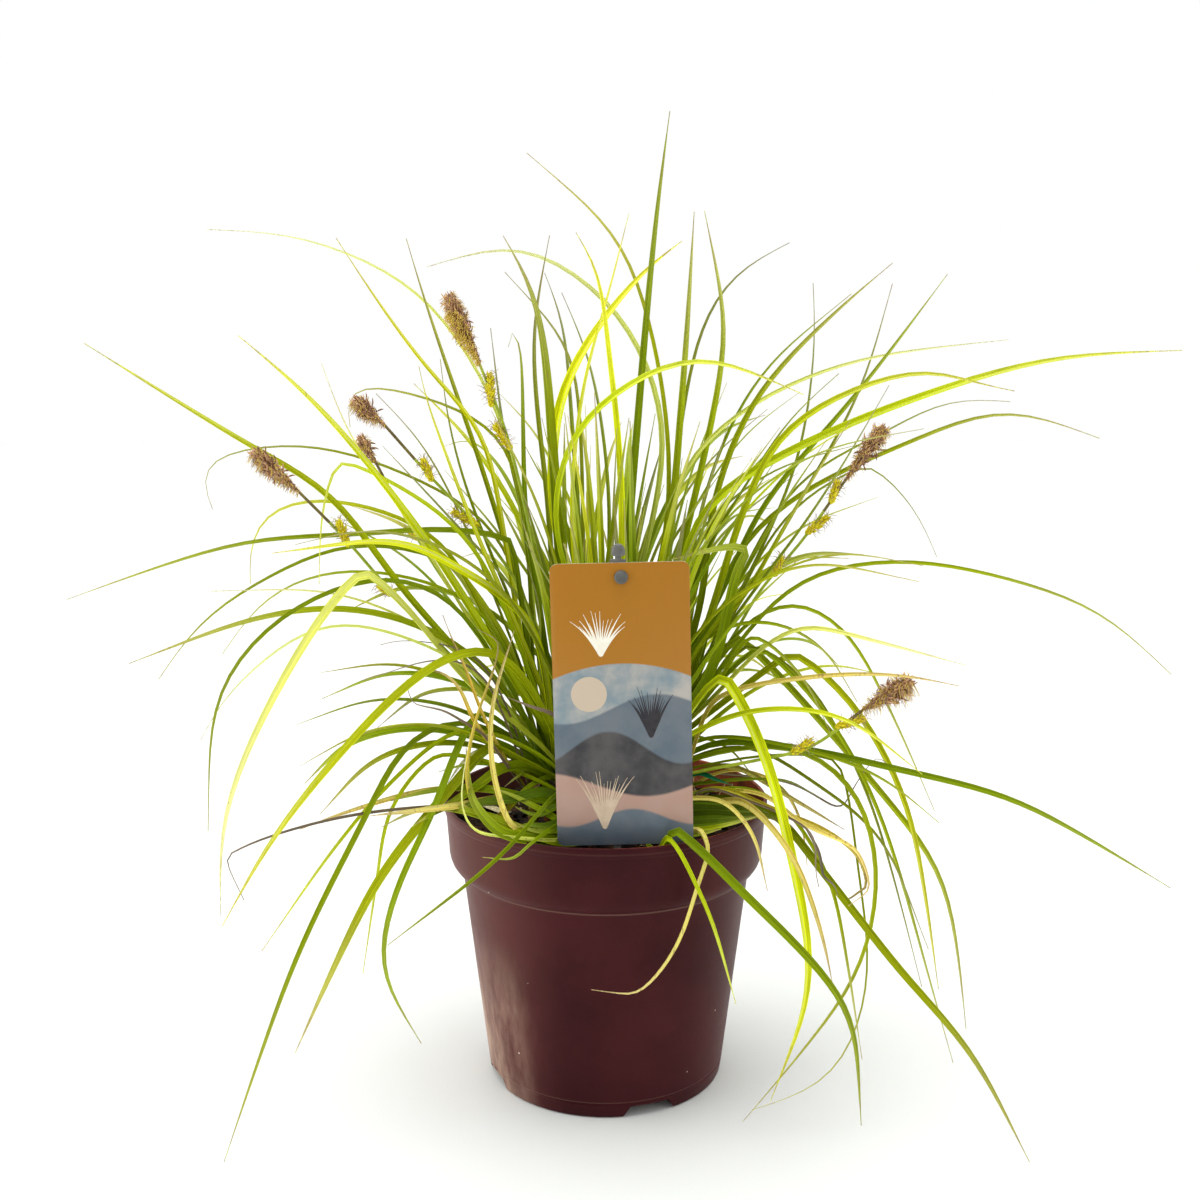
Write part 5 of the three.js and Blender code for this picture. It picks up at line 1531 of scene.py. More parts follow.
@dataclass
class Pot:
    """The round pot: one thin moulding with a collar, a flat base and notches round its foot."""

    sides: int = 144
    floor: float = 2.2
    groove: float = 6.4
    shoulder_out: float = 1.1
    shoulder_top: float = 95.2
    collar_round: float = 8.0
    notch_count: int = 4
    notch_angle: float = -69.0
    notch_bottom: float = 24.5
    notch_top: float = 17.0
    notch_height: float = 5.0
    notch_inner: float = 33.0
    notch_length: float = 40.0
    finish: PotPlastic = field(default_factory=PotPlastic)

    def outline(self) -> list[tuple[float, float]]:
        """Draw the wall's outline.

        Returns:
            Its points, from the middle of the underside round to the middle of the floor.
        """
        slope = (SHOULDER_RADIUS - FOOT_RADIUS) / COLLAR_BOTTOM
        side = [(self.groove - 0.7, 0.0), (self.groove - 0.25, 0.28), (self.groove + 0.25, 0.28),
                (self.groove + 0.7, 0.0), *((z, 0.0) for z in (20, 40, 60, 80, 92))]
        reach = SHOULDER_RADIUS + self.shoulder_out
        bow = [angle * DEGREE for angle in (12, 30, 48, 64, 78)]
        return [
            (0.0, 0.0), (FOOT_RADIUS - 1.2, 0.0), (FOOT_RADIUS - 0.35, 0.3), (FOOT_RADIUS, 1.1),
            *((FOOT_RADIUS + slope * z - dip, z) for z, dip in side),
            (SHOULDER_RADIUS - 0.1, 94.2), (SHOULDER_RADIUS + 0.35, 94.9), (reach, self.shoulder_top),
            *((reach + (COLLAR_RADIUS - reach) * math.sin(angle),
               self.shoulder_top + self.collar_round * (1 - math.cos(angle))) for angle in bow),
            (COLLAR_RADIUS + 0.05, 104.5), (69.25, 118.6), (69.3, 119.2), (69.75, 119.7), (69.95, 120.4),
            (RIM_RADIUS, 123.0), (69.8, 123.7), (69.3, POT_HEIGHT), (68.8, POT_HEIGHT), (68.4, 123.6),
            (68.35, 122.6), (COLLAR_RADIUS - POT_WALL, 104.0), (66.0, 100.0), (63.2, 96.6), (61.4, 94.5),
            (SHOULDER_RADIUS - POT_WALL, 92.0), (FOOT_RADIUS - POT_WALL + 0.9, 8.6),
            (FOOT_RADIUS - POT_WALL - 0.4, 7.0), (31.4, 6.8), (30.8, self.floor + 0.4), (30.2, self.floor),
            (0.0, self.floor),
        ]

    def notch(self, angle: float) -> BMesh:
        """Make the wedge that one notch takes out of the foot.

        Args:
            angle: where it is round the foot, in degrees.

        Returns:
            The wedge.
        """
        cut = bmesh.new()
        bmesh.ops.create_cube(cut, size=1.0)
        for vert in cut.verts:
            upper = vert.co.z > 0
            width, height = (self.notch_top, self.notch_height) if upper else (self.notch_bottom, -1.0)
            vert.co = (self.notch_inner + self.notch_length * (0.5 + vert.co.x), vert.co.y * width, height)
        bmesh.ops.rotate(cut, cent=(0, 0, 0), matrix=Matrix.Rotation(angle * DEGREE, 3, "Z"), verts=cut.verts)
        return cut

    def build(self) -> None:
        """Turn the wall and cut the notches."""
        bm = bmesh.new()
        turned(bm, self.outline(), self.sides)
        bmesh.ops.recalc_face_normals(bm, faces=bm.faces)
        for number in range(self.notch_count):
            bm = cut_away(bm, self.notch(self.notch_angle + number * 360 / self.notch_count))
        smooth_all(bm, 28)
        set_down("nursery_pot", bm, [self.finish.make()], "pot", ["pot"], outward=False)


@dataclass
class Soil:
    """The potting soil, with a crumbly top, crumbs and dry root ends."""

    sides: int = 160
    rings: int = 34
    edge_radius: float = 66.2
    crumbs: int = 420
    root_ends: int = 84
    finish: PottingSoil = field(default_factory=PottingSoil)
    root_finishes: tuple[SpeckledFinish, ...] = (
        SpeckledFinish("root_skin", shade(112, 70, 44), shade(150, 104, 70), 0.8, 300),
        SpeckledFinish("dry_twig", shade(168, 146, 104), shade(196, 178, 140), 0.8, 300),
    )

    def build(self) -> None:
        """Turn the soil, roughen its top and scatter the crumbs and root ends."""
        bm = bmesh.new()
        outline = [(0.0, 7.4), (48.6, 7.4), (60.4, 92.0), (65.2, 101.0), (self.edge_radius - 0.3, 110.2),
                   (self.edge_radius, SOIL_EDGE - 0.6)]
        for k in range(1, self.rings + 1):
            radius = self.edge_radius * (1 - k / self.rings)
            outline.append((radius, soil_top(radius)))
        turned(bm, outline, self.sides)
        for vert in bm.verts:
            if vert.co.z > SOIL_EDGE - 1 and math.hypot(vert.co.x, vert.co.y) < self.edge_radius - 0.4:
                rough = field_noise.fractal(vert.co * 0.16, 0.8, 2.1, 4)
                fine = field_noise.fractal(vert.co * 0.7 + Vector((7, 3, 1)), 0.7, 2.0, 3)
                vert.co.z += 1.1 * rough + 0.55 * fine
        draw = Draw(71)
        for _ in range(self.crumbs):
            self.crumb(bm, draw)
        smooth_all(bm, 60)
        set_down("soil_bed", bm, [self.finish.make()], "soil", ["soil"])
        self.scatter_roots()

    def crumb(self, bm: BMesh, draw: Draw) -> None:
        """Lay one loose crumb on the soil.

        Args:
            bm: where it is laid.
            draw: the crumbs' draw.
        """
        angle, radius = draw() * 2 * math.pi, self.edge_radius * math.sqrt(draw()) * 0.96
        size = draw.between(0.5, 1.9)
        made = bmesh.ops.create_icosphere(bm, subdivisions=1, radius=size)["verts"]
        squash = Matrix.Diagonal((draw.between(0.7, 1.3), draw.between(0.6, 1.0), draw.between(0.5, 0.9), 1))
        turn = Matrix.Rotation(draw() * 6.3, 4, "Z") @ Matrix.Rotation(draw.between(-0.6, 0.6), 4, "X")
        spot = (radius * math.cos(angle), radius * math.sin(angle), soil_top(radius) + size * 0.25)
        bmesh.ops.transform(bm, matrix=Matrix.Translation(spot) @ turn @ squash, verts=made)

    def scatter_roots(self) -> None:
        """Lay dry root ends on the soil, with a third of them leaning on the wall at the back."""
        bm = bmesh.new()
        draw = Draw(37)
        rod = unit_rod(4, 6)
        shares = np.linspace(0, 1, 7)[:, None]
        for number in range(self.root_ends):
            leaning = number % 3 == 0
            angle = draw.between(5, 80) * DEGREE if leaning else draw() * 2 * math.pi
            radius = draw.between(48, 62) if leaning else draw.between(26, 60)
            heading = angle + draw.between(-1.4, 1.4)
            reach = draw.between(5, 13)
            foot = np.array([radius * math.cos(angle), radius * math.sin(angle), soil_top(radius) + 0.3])
            rise = draw.between(3, 11) if leaning else draw.between(0.4, 2.0)
            way = np.array([math.cos(heading) * reach, math.sin(heading) * reach, rise])
            way[:2] *= min(1.0, (66.0 - radius) / reach) if leaning else 0.5
            bend = np.array([draw.between(-3, 3), draw.between(-3, 3), -0.4 * rise])
            line = foot + way * shares + bend * (shares * (1 - shares)) * 2
            lay_tube(bm, rod, line, np.linspace(draw.between(0.22, 0.45), 0.14, 7), number % 2)
        set_down("root_ends", bm, [finish.make() for finish in self.root_finishes], "soil", outward=False)


# ---- plant label


def ink(name: str, low: Colour, high: Colour) -> SpeckledFinish:
    """A printing ink."""
    return SpeckledFinish(name, low, high, 0.45, 260)


@dataclass(frozen=True)
class Tussock:
    """A printed fan of grass blades: its foot from the card's middle, and its blades."""

    name: str
    finish: SpeckledFinish
    foot: tuple[float, float]
    count: int
    reach: float
    width: float
    spread: float


TUSSOCKS = (
    Tussock("label_print_cream", ink("cream_ink", shade(244, 240, 226), shade(236, 230, 212)),
            (-8.0, 20.0), 15, 19.0, 1.1, 1.0),
    Tussock("label_print_dark", ink("dark_ink", shade(34, 34, 42), shade(52, 46, 48)),
            (11.0, -13.0), 17, 21.0, 1.1, 0.75),
    Tussock("label_print_sand", ink("sand_ink", shade(206, 186, 160), shade(190, 168, 142)),
            (-8.0, -50.0), 15, 25.0, 1.2, 0.75),
)


@dataclass
class PlantLabel:
    """The printed card and the grey plastic stake that it hangs on."""

    corner: float = 3.0
    soft_edge: float = 0.12
    bottom: float = 78.0
    shoulder: float = 236.2
    neck_width: float = 2.4
    peg_x: float = 5.6
    peg_z: float = 229.6
    peg_radius: float = 1.7
    peg_depth: float = 2.4
    head_radius: float = 2.7
    ink_height: float = 0.1
    stroke_steps: int = 10
    card_finish: PrintedCard = field(default_factory=PrintedCard)
    stake_finish: SpeckledFinish = SpeckledFinish(
        "grey_plastic", shade(86, 87, 84), shade(112, 111, 105), 0.4, 160)

    @staticmethod
    def hang(bm: BMesh) -> None:
        """Turn what was made about the card's middle, and move it to the card's place."""
        place = Matrix.Translation((CARD_X, CARD_FRONT, CARD_Z))
        roll = Matrix.Rotation(-CARD_ROLL * DEGREE, 4, "Y")
        bmesh.ops.transform(bm, matrix=place @ roll, verts=bm.verts)

    def build_card(self) -> None:
        """Make the card: a thin plate with round corners and soft edges."""
        bm = bmesh.new()
        bmesh.ops.create_cube(bm, size=1.0)
        bmesh.ops.scale(bm, vec=(CARD_WIDTH, CARD_THICK, CARD_HEIGHT), verts=bm.verts)
        bmesh.ops.translate(bm, vec=(0, CARD_THICK / 2, 0), verts=bm.verts)
        across = [e for e in bm.edges if abs(e.verts[0].co.y - e.verts[1].co.y) > 0.1]
        soften_edges(bm, across, self.corner, 10)
        soften_edges(bm, [e for e in bm.edges if e.calc_face_angle(0) > 1.0], self.soft_edge)
        smooth_all(bm, 35)
        self.hang(bm)
        set_down("label_face", bm, [self.card_finish.make()], "card", ["label_card"])

    def stroke(self, bm: BMesh, foot: tuple[float, float], heading: float, bend: float, reach: float,
               width: float) -> None:
        """Make a printed grass blade: a thin pointed strip that bends over.

        Args:
            bm: where it is made.
            foot: its foot on the card, from the card's middle.
            heading: its lean at the foot, from upright.
            bend: how much further it leans at its tip.
            reach: its length.
            width: its width low down.
        """
        steps = self.stroke_steps
        before, made = fresh_grid(bm, 1, steps)
        for vert in made:
            share, side = (vert.co.y + 1) / 2, vert.co.x
            x, z = foot
            for k in range(round(share * steps)):
                lean = heading + bend * ((k + 0.5) / steps) ** 1.4
                x += math.sin(lean) * reach / steps
                z += math.cos(lean) * reach / steps
            lean = heading + bend * share ** 1.4
            half = max(width * 0.5 * (1 - share ** 2) * min(1.0, 0.35 + share * 1.6), 0.08)
            vert.co = (x + side * math.cos(lean) * half, 0.0, z - side * math.sin(lean) * half)
        bm.normal_update()
        bmesh.ops.solidify(bm, geom=list({f for v in made for f in v.link_faces}), thickness=self.ink_height)
        fresh = [v for v in bm.verts if v not in before]
        proud = self.ink_height * (0.5 + 0.5 * len(bm.verts) / 2000)
        bmesh.ops.translate(bm, vec=(0, -min(v.co.y for v in fresh) - proud, 0), verts=fresh)

    def build_print(self) -> None:
        """Make the printed sketch of sedges: three tussocks, each a fan of blades."""
        draw = Draw(5)
        for tussock in TUSSOCKS:
            bm = bmesh.new()
            for k in range(tussock.count):
                side = 2 * k / (tussock.count - 1) - 1
                foot = (tussock.foot[0] + side * 0.7, tussock.foot[1] + 0.5 * side * side)
                self.stroke(bm, foot, side * 0.45 * tussock.spread,
                            side * draw.between(0.5, 1.1) * tussock.spread * 0.6,
                            tussock.reach * draw.between(0.72, 1.0), tussock.width * draw.between(0.6, 1.0))
            self.hang(bm)
            set_down(tussock.name, bm, [tussock.finish.make()], "card")

    def build_stake(self) -> None:
        """Make the stake: a flat pointed bar, its neck and knob, and the button that holds the card."""
        bm = bmesh.new()
        middle = CARD_FRONT + CARD_THICK + GAP + STAKE_THICK / 2
        for vert in bmesh.ops.create_cube(bm, size=1.0)["verts"]:
            share, height = (0.25, self.bottom) if vert.co.z < 0 else (1, self.shoulder)
            vert.co = (STAKE_X + vert.co.x * STAKE_WIDTH * share, middle + vert.co.y * STAKE_THICK, height)
        neck = Matrix.Diagonal((self.neck_width, STAKE_THICK * 0.9, 4.2, 1))
        bmesh.ops.transform(bm, verts=bmesh.ops.create_cube(bm, size=1.0)["verts"],
                            matrix=Matrix.Translation((STAKE_X, middle, self.shoulder + 0.6)) @ neck)
        soften_edges(bm, [e for e in bm.edges if e.calc_length() > 1], 0.25)
        dome = [(0.0, 2.7), (0.9, 2.6), (1.7, 2.15), (2.3, 1.3), (2.62, 0.2), (KNOB_RADIUS, -1.0),
                (2.6, -1.7), (2.2, -2.05), (0.0, -2.1)]
        flat = Matrix.Translation((STAKE_X, middle, KNOB_Z)) @ Matrix.Diagonal((1, 0.55, 1, 1))
        bmesh.ops.transform(bm, verts=turned(bm, dome, 28), matrix=flat)
        button = [(0.0, 1.1), (0.8, 1.15), (1.5, 1.45), (2.1, 1.5), (2.55, 1.2), (self.head_radius, 0.6),
                  (self.head_radius, 0.15), (2.5, 0.0), (self.peg_radius, 0.0),
                  (self.peg_radius, -self.peg_depth), (0.0, -self.peg_depth)]
        lying = Matrix.Rotation(90 * DEGREE, 4, "X")
        bmesh.ops.transform(bm, verts=turned(bm, button, 32),
                            matrix=Matrix.Translation((self.peg_x, CARD_FRONT - 0.12, self.peg_z)) @ lying)
        smooth_all(bm, 35)
        set_down("stake_bar", bm, [self.stake_finish.make()], "stake", ["label_stake"])

    def build(self) -> None:
        """Make the card, its print and the stake."""
        self.build_card()
        self.build_print()
        self.build_stake()


# ---- leaves


def softened(points: np.ndarray, stations: np.ndarray, folded_under: float) -> np.ndarray:
    """Round off a fine line's bends, but leave the sharp folds of its leaf in.

    Args:
        points: the fine line.
        stations: the leaf's own stations.
        folded_under: the cosine of a turn that counts as a fold.

    Returns:
        The rounded line, with the same ends.
    """
    rounds, fold_reach, held = 6, 14, 0.2
    ahead = each_unit(np.diff(stations, axis=0))
    free = np.ones(len(points))
    free[0] = free[-1] = 0.0
    for k, fold in enumerate(stations[1:-1]):
        if float(ahead[k] @ ahead[k + 1]) < folded_under:
            away = np.linalg.norm(points - fold, axis=1)
            free = np.minimum(free, np.clip(away / fold_reach - held, 0, 1))
    made = points.copy()
    for _ in range(rounds):
        middle = (made[:-2] + made[2:]) / 2
        made[1:-1] += (middle - made[1:-1]) * (0.5 * free[1:-1])[:, None]
    return made


@dataclass
class BladeBed:
    """The blank that every blade is laid from, how a blade is folded, and the draw that varies them."""

    rows: int = 36
    splits: int = 4
    fold: float = 0.32
    rim_thick: float = 0.26
    rib_thick: float = 0.46
    least_half: float = 0.16
    dry_fold_turn: float = 0.7
    fold_turn: float = 0.45
    tone_range: float = 0.14
    warm_range: float = 0.06
    twist: float = 0.10
    twist_waves: float = 4.0
    to_front: Point = (0.0, -0.95, 0.31)
    draw: Draw = field(default_factory=lambda: Draw(4242))

    def __post_init__(self) -> None:
        """Make the blank: a flat closed blade, with its own map of how far across and along."""
        self.shares = np.linspace(0.0, 1.0, self.rows + 1)
        bm = self.empty()
        chart = bm.loops.layers.uv["blade"]
        bmesh.ops.create_grid(bm, x_segments=self.splits, y_segments=self.rows, size=1.0)
        bmesh.ops.solidify(bm, geom=bm.faces[:], thickness=0.1)
        bmesh.ops.recalc_face_normals(bm, faces=bm.faces)
        bmesh.ops.translate(bm, vec=(0, 0, -max(v.co.z for v in bm.verts)), verts=bm.verts)
        for face in bm.faces:
            face.smooth = True
            for loop in face.loops:
                loop[chart].uv = ((loop.vert.co.x + 1) / 2, (loop.vert.co.y + 1) / 2)
        for edge in bm.edges:
            middle = all(abs(v.co.x) < 0.01 for v in edge.verts)
            rim = len(edge.link_faces) == 2 and edge.calc_face_angle(0.0) > 1.0
            edge.smooth = not (middle or rim)
        self.blank = mesh_of(bm, "blade_blank")

    @staticmethod
    def empty() -> BMesh:
        """Start a bmesh that can hold blades.

        Returns:
            The bmesh, with the tint and the map that the leaf finishes look for.
        """
        bm = bmesh.new()
        bm.verts.layers.float_color.new("tint")
        bm.loops.layers.uv.new("blade")
        return bm

    def middle_line(self, leaf: Leaf) -> tuple[np.ndarray, np.ndarray]:
        """Work out the line of a blade's middle.

        Args:
            leaf: the leaf.

        Returns:
            Its points, and the way that the upper face looks at each.
        """
        dry = leaf.tint in (Tint.STRAW, Tint.DEAD, Tint.AMBER)
        points = smooth_line(leaf.line, self.shares)
        points = softened(points, leaf.line, self.dry_fold_turn if dry else self.fold_turn)
        run = length_shares(leaf.line)
        normals = np.stack([np.interp(self.shares, run, leaf.normals[:, axis]) for axis in range(3)], 1)
        if leaf.frontal:
            normals = np.broadcast_to(self.to_front, normals.shape)
        return points, square_to(normals, along_the_line(points))

    def lay(self, bm: BMesh, leaf: Leaf) -> None:
        """Lay one leaf's blade into a bmesh.

        Args:
            bm: where it is laid.
            leaf: the leaf.
        """
        points, upward = self.middle_line(leaf)
        across = np.cross(along_the_line(points), upward)
        half = blade_swell(leaf.width, self.shares) / 2
        half = np.maximum(half * leaf.slim * (1 - self.shares ** leaf.taper), self.least_half)
        tone = self.draw.between(1 - self.tone_range, 1 + self.tone_range)
        warm = self.draw.between(-self.warm_range, self.warm_range)
        start = self.draw() * 6.28
        twist = (np.sin(self.shares * self.twist_waves + start) - math.sin(start)) * self.twist
        cosine, sine = np.cos(twist)[:, None], np.sin(twist)[:, None]
        across, upward = across * cosine + upward * sine, upward * cosine - across * sine
        bases = [leaf.tint.at(share) for share in self.shares]
        tones = [(red * tone * (1 + warm), green * tone, blue * tone * (1 - warm), 1.0)
                 for red, green, blue, _ in bases]
        first = len(bm.verts)
        bm.from_mesh(self.blank)
        bm.verts.ensure_lookup_table()
        layer = bm.verts.layers.float_color["tint"]
        for vert in bm.verts[first:]:
            side, row = vert.co.x, round((vert.co.y + 1) / 2 * self.rows)
            share, reach = self.shares[row], abs(side)
            lift = -self.fold * half[row] * 2 * (1 - 0.4 * share) * (1 - reach) * (1 + 0.35 * reach)
            if vert.co.z < -0.05:
                lift -= mix(self.rib_thick, self.rim_thick, reach ** 0.5) * (1 - 0.75 * share ** 4)
            vert[layer] = tones[row]
            vert.co = points[row] + across[row] * (half[row] * side) + upward[row] * lift

    def lay_all(self, leaves: Iterable[Leaf]) -> BMesh:
        """Lay some leaves' blades into a new bmesh.

        Args:
            leaves: the leaves.

        Returns:
            The bmesh.
        """
        bm = self.empty()
        for leaf in leaves:
            self.lay(bm, leaf)
        return bm


@dataclass
class LeafTuft:
    """One tiller of green leaves, or a dry bunch: the rolled sheath and the blades that come out of it."""

    tiller: Tiller
    leaves: list[Leaf]
    bed: BladeBed
    finish: Material
    slot: str
    lower_skin: tuple[tuple[float, Colour], ...] = (
        (0.0, shade(70, 44, 26)), (0.36, shade(104, 70, 34)), (0.62, shade(150, 136, 48)))
    green_top: Colour = shade(112, 138, 18)
    straw_top: Colour = shade(190, 160, 84)
    skin_map: tuple[float, float] = (0.3, 0.3)

    def sheath(self, bm: BMesh) -> None:
        """Roll the sheath at the tiller's foot, brown below and green above.

        Args:
            bm: where it is made.
        """
        scale, x, y = self.tiller.size, self.tiller.x, self.tiller.y
        bottom, height = self.tiller.soil() - SHEATH_SUNK, SHEATH_SUNK + SHEATH_RISE * scale
        skin = (*self.lower_skin, (1.0, self.straw_top if self.tiller.dry else self.green_top))
        layer, chart = bm.verts.layers.float_color["tint"], bm.loops.layers.uv["blade"]
        before, made = fresh_grid(bm, 24, 12)
        for vert in made:
            angle, share = (vert.co.x + 1) * math.pi, (vert.co.y + 1) / 2
            stripe = 0.86 + 0.14 * math.sin(9 * angle + x + y)
            vert[layer] = (*(channel * stripe for channel in step_between(skin, share)[:3]), 1.0)
            radius = mix(SHEATH_RADIUS, SHEATH_TOP, share) * scale * 0.97
            radius *= 1 - 0.13 * (0.5 + 0.5 * math.sin(angle * 3 + x)) - 0.05 * math.sin(angle * 7 + y)
            vert.co = (x + radius * math.cos(angle), y + radius * math.sin(angle), bottom + height * share)
        bmesh.ops.remove_doubles(bm, verts=made, dist=1e-3)
        made = [v for v in bm.verts if v not in before]
        open_edges = [e for e in {e for v in made for e in v.link_edges} if len(e.link_faces) == 1]
        bmesh.ops.holes_fill(bm, edges=open_edges, sides=0)
        for face in {f for v in made for f in v.link_faces}:
            face.smooth = True
            for loop in face.loops:
                loop[chart].uv = self.skin_map

    def build(self) -> None:
        """Make the piece."""
        bm = self.bed.lay_all(self.leaves)
        self.sheath(bm)
        name = self.tiller.node.replace("leaf_tuft", "tiller").replace("dry_leaves", "dry_bunch")
        set_down(name, bm, [self.finish], self.slot, [self.tiller.node], outward=False)


@dataclass
class LowLeaves:
    """Leaves that come out of the sheaths low down and lie over the soil and the rim."""

    name: str
    rows: Sequence[LeafRow]
    bed: BladeBed
    finish: Material
    slot: str
    stride: float = 9.0
    upper_side: Point = (0.0, -0.68, 0.73)

    def leaf(self, row: LeafRow) -> Leaf:
        """Make a row's leaf, with its upper side turned up and outwards.

        Args:
            row: the row.

        Returns:
            The leaf.
        """
        line, upper = stations_through(row.points, self.stride), np.array(self.upper_side)
        normals = square_to(upper, along_the_line(line))
        return Leaf(self.name, row.width, row.tint, upper, line, normals, slim=1.0)

    def build(self) -> None:
        """Make the piece."""
        bm = self.bed.lay_all([self.leaf(row) for row in self.rows])
        set_down(self.name, bm, [self.finish], self.slot, outward=False)


# ---- flower stems and spikes


LOOKOUT = np.array([0.31, -0.9, 0.3])


def square_ways(ahead: np.ndarray) -> tuple[np.ndarray, np.ndarray]:
    """Find two ways square to a way, or to each of several.

    Args:
        ahead: the way or the rows of ways, at length one.

    Returns:
        The way across and the way out.
    """
    across = each_unit(np.cross(ahead, LOOKOUT))
    return across, np.cross(across, ahead)


class FlowerStem:
    """A flower stem's line, and where its side spikelets and its spike stand."""

    UNDER_SPIKE = 0.35
    LEAN = 0.34
    CLEAR_OF_SOIL = 14
    STRIDE = 40

    def __init__(self, number: int, row: StemRow) -> None:
        """Work out the line and the places on it.

        Args:
            number: the stem's number.
            row: its row of the table.
        """
        self.node, self.spike_node = f"flower_stem_{number:02d}", f"flower_spike_{number:02d}"
        self.radius, self.head = row.radius, np.array(row.head, float)
        x, y = row.place
        top = soil_top(math.hypot(x, y))
        path = stations_through([(x, y, top + self.CLEAR_OF_SOIL), *row.path], self.STRIDE)
        self.line = np.vstack([[(x, y, top - SHEATH_SUNK + 1)], path])
        self.shares = length_shares(self.line)
        self.spikelets = []
        for k, (share, tall) in enumerate(row.side):
            point, ahead = self.along(share)
            side = each_unit(np.cross(ahead, (0.0, 1.0, 0.0)))
            lean = each_unit(ahead + side * (self.LEAN * (-1 if k % 2 else 1)))
            self.spikelets.append((point, lean * tall, 1.3 + tall * 0.075))
        self.spike_foot = self.line[-1] + each_unit(self.head) * self.UNDER_SPIKE

    def along(self, share: float) -> tuple[np.ndarray, np.ndarray]:
        """Find a place on the stem.

        Args:
            share: the share of its length.

        Returns:
            The point, and the way ahead there.
        """
        i = max(1, next(k for k, value in enumerate(self.shares) if value >= share))
        local = (share - self.shares[i - 1]) / (self.shares[i] - self.shares[i - 1])
        step = self.line[i] - self.line[i - 1]
        return self.line[i - 1] + step * local, each_unit(step)


def unit_rod(sides: int, rows: int) -> bpy.types.Mesh:
    """Make a closed round rod, one unit in radius and in height.

    Args:
        sides: how many sides it has.
        rows: how many rows it has along it.

    Returns:
        The rod's mesh.
    """
    bm = bmesh.new()
    bmesh.ops.create_cone(bm, cap_ends=True, segments=sides, radius1=1.0, radius2=1.0, depth=1.0)
    bmesh.ops.translate(bm, vec=(0, 0, 0.5), verts=bm.verts)
    upright = [e for e in bm.edges if abs(e.verts[0].co.z - e.verts[1].co.z) > 0.5]
    bmesh.ops.subdivide_edges(bm, edges=upright, cuts=rows - 1)
    for face in bm.faces:
        face.smooth = abs(face.normal.z) < 0.5
    return mesh_of(bm, "unit_rod")


def lay_rod(bm: BMesh, rod: bpy.types.Mesh, place: Callable[[float, float, float], Sequence[float]],
            finish: int = 0) -> None:
    """Lay a rod into a bmesh, bent and swollen as a rule says.

    Args:
        bm: where it is laid.
        rod: the unit rod.
        place: gives the point for the rod's two sideways shares and its share along.
        finish: the number of its material in the piece.
    """
    first, first_face = len(bm.verts), len(bm.faces)
    bm.from_mesh(rod)
    bm.verts.ensure_lookup_table()
    bm.faces.ensure_lookup_table()
    for vert in bm.verts[first:]:
        vert.co = place(*vert.co)
    for face in bm.faces[first_face:]:
        face.material_index = finish


def lay_tube(bm: BMesh, rod: bpy.types.Mesh, line: np.ndarray, radii: np.ndarray, finish: int = 0,
             flat: float = 1.0) -> None:
    """Lay a rod along a line with a radius at each of its rows.

    Args:
        bm: where it is laid.
        rod: the unit rod, with a row for each segment of the line.
        line: the points of its middle.
        radii: the radius at each point.
        finish: the number of its material in the piece.
        flat: how thick it is against its width.
    """
    across, normal = square_ways(along_the_line(line))

    def place(x: float, y: float, share: float) -> np.ndarray:
        """A point of the tube's skin."""
        row = round(share * (len(line) - 1))
        return line[row] + across[row] * (x * radii[row]) + normal[row] * (-y * radii[row] * flat)

    lay_rod(bm, rod, place, finish)


class StalkPart(IntEnum):
    """The materials of a flower stem, in their order."""

    STALK = 0
    SEED = 1
    THREAD = 2
    BROWNED = 3


class SpikePart(IntEnum):
    """The materials of a male spike, in their order."""

    SCALE = 0
    AMBER = 1
    STAMEN = 2
    THREAD = 3


class GrainShape(Enum):
    """How a grain swells, from its foot to its end."""

    SCALE = (0.35, 0.85, 1.0, 0.62, 0.08)
    BEAKED = (0.3, 0.95, 0.9, 0.2, 0.06)


@dataclass
class Bristles:
    """The rods that grains and threads are laid from, and the draw that varies them."""

    draw: Draw

    def __post_init__(self) -> None:
        """Make the two rods."""
        self.grain_rod = unit_rod(6, 4)
        self.thread_rod = unit_rod(3, 4)
        self.shares = np.linspace(0, 1, 5)[:, None]

    def grain(self, bm: BMesh, foot: np.ndarray, way: np.ndarray, out: np.ndarray, width: float,
              finish: int = 0, shape: GrainShape = GrainShape.SCALE) -> None:
        """Lay a pointed scale or a beaked seed.

        Args:
            bm: where it is laid.
            foot: where it starts.
            way: how far it goes, and where to.
            out: the way that its back faces.
            width: its width.
            finish: the number of its material.
            shape: how it swells.
        """
        arched = np.array([0, 0.16, 0.22, 0.14, 0.02]) * np.linalg.norm(way) * 0.7
        line = foot + self.shares * way + out * arched[:, None]
        lay_tube(bm, self.grain_rod, line, np.array(shape.value) * width / 2, finish, 0.7)

    def core(self, bm: BMesh, foot: np.ndarray, way: np.ndarray, radii: np.ndarray, finish: int) -> None:
        """Lay the spindle that carries the grains."""
        lay_tube(bm, self.grain_rod, foot + self.shares * way, radii, finish)

    def thread(self, bm: BMesh, foot: np.ndarray, way: np.ndarray, bend: np.ndarray, radius: float,
               finish: int) -> None:
        """Lay a thin bent thread, thinner at its end.

        Args:
            bm: where it is laid.
            foot: where it starts.
            way: how far it goes, and where to.
            bend: how far its end is bent away.
            radius: its radius at its foot.
            finish: the number of its material.
        """
        line = foot + way * self.shares + bend * self.shares ** 2
        lay_tube(bm, self.thread_rod, line, np.linspace(radius, radius * 0.5, 5), finish)


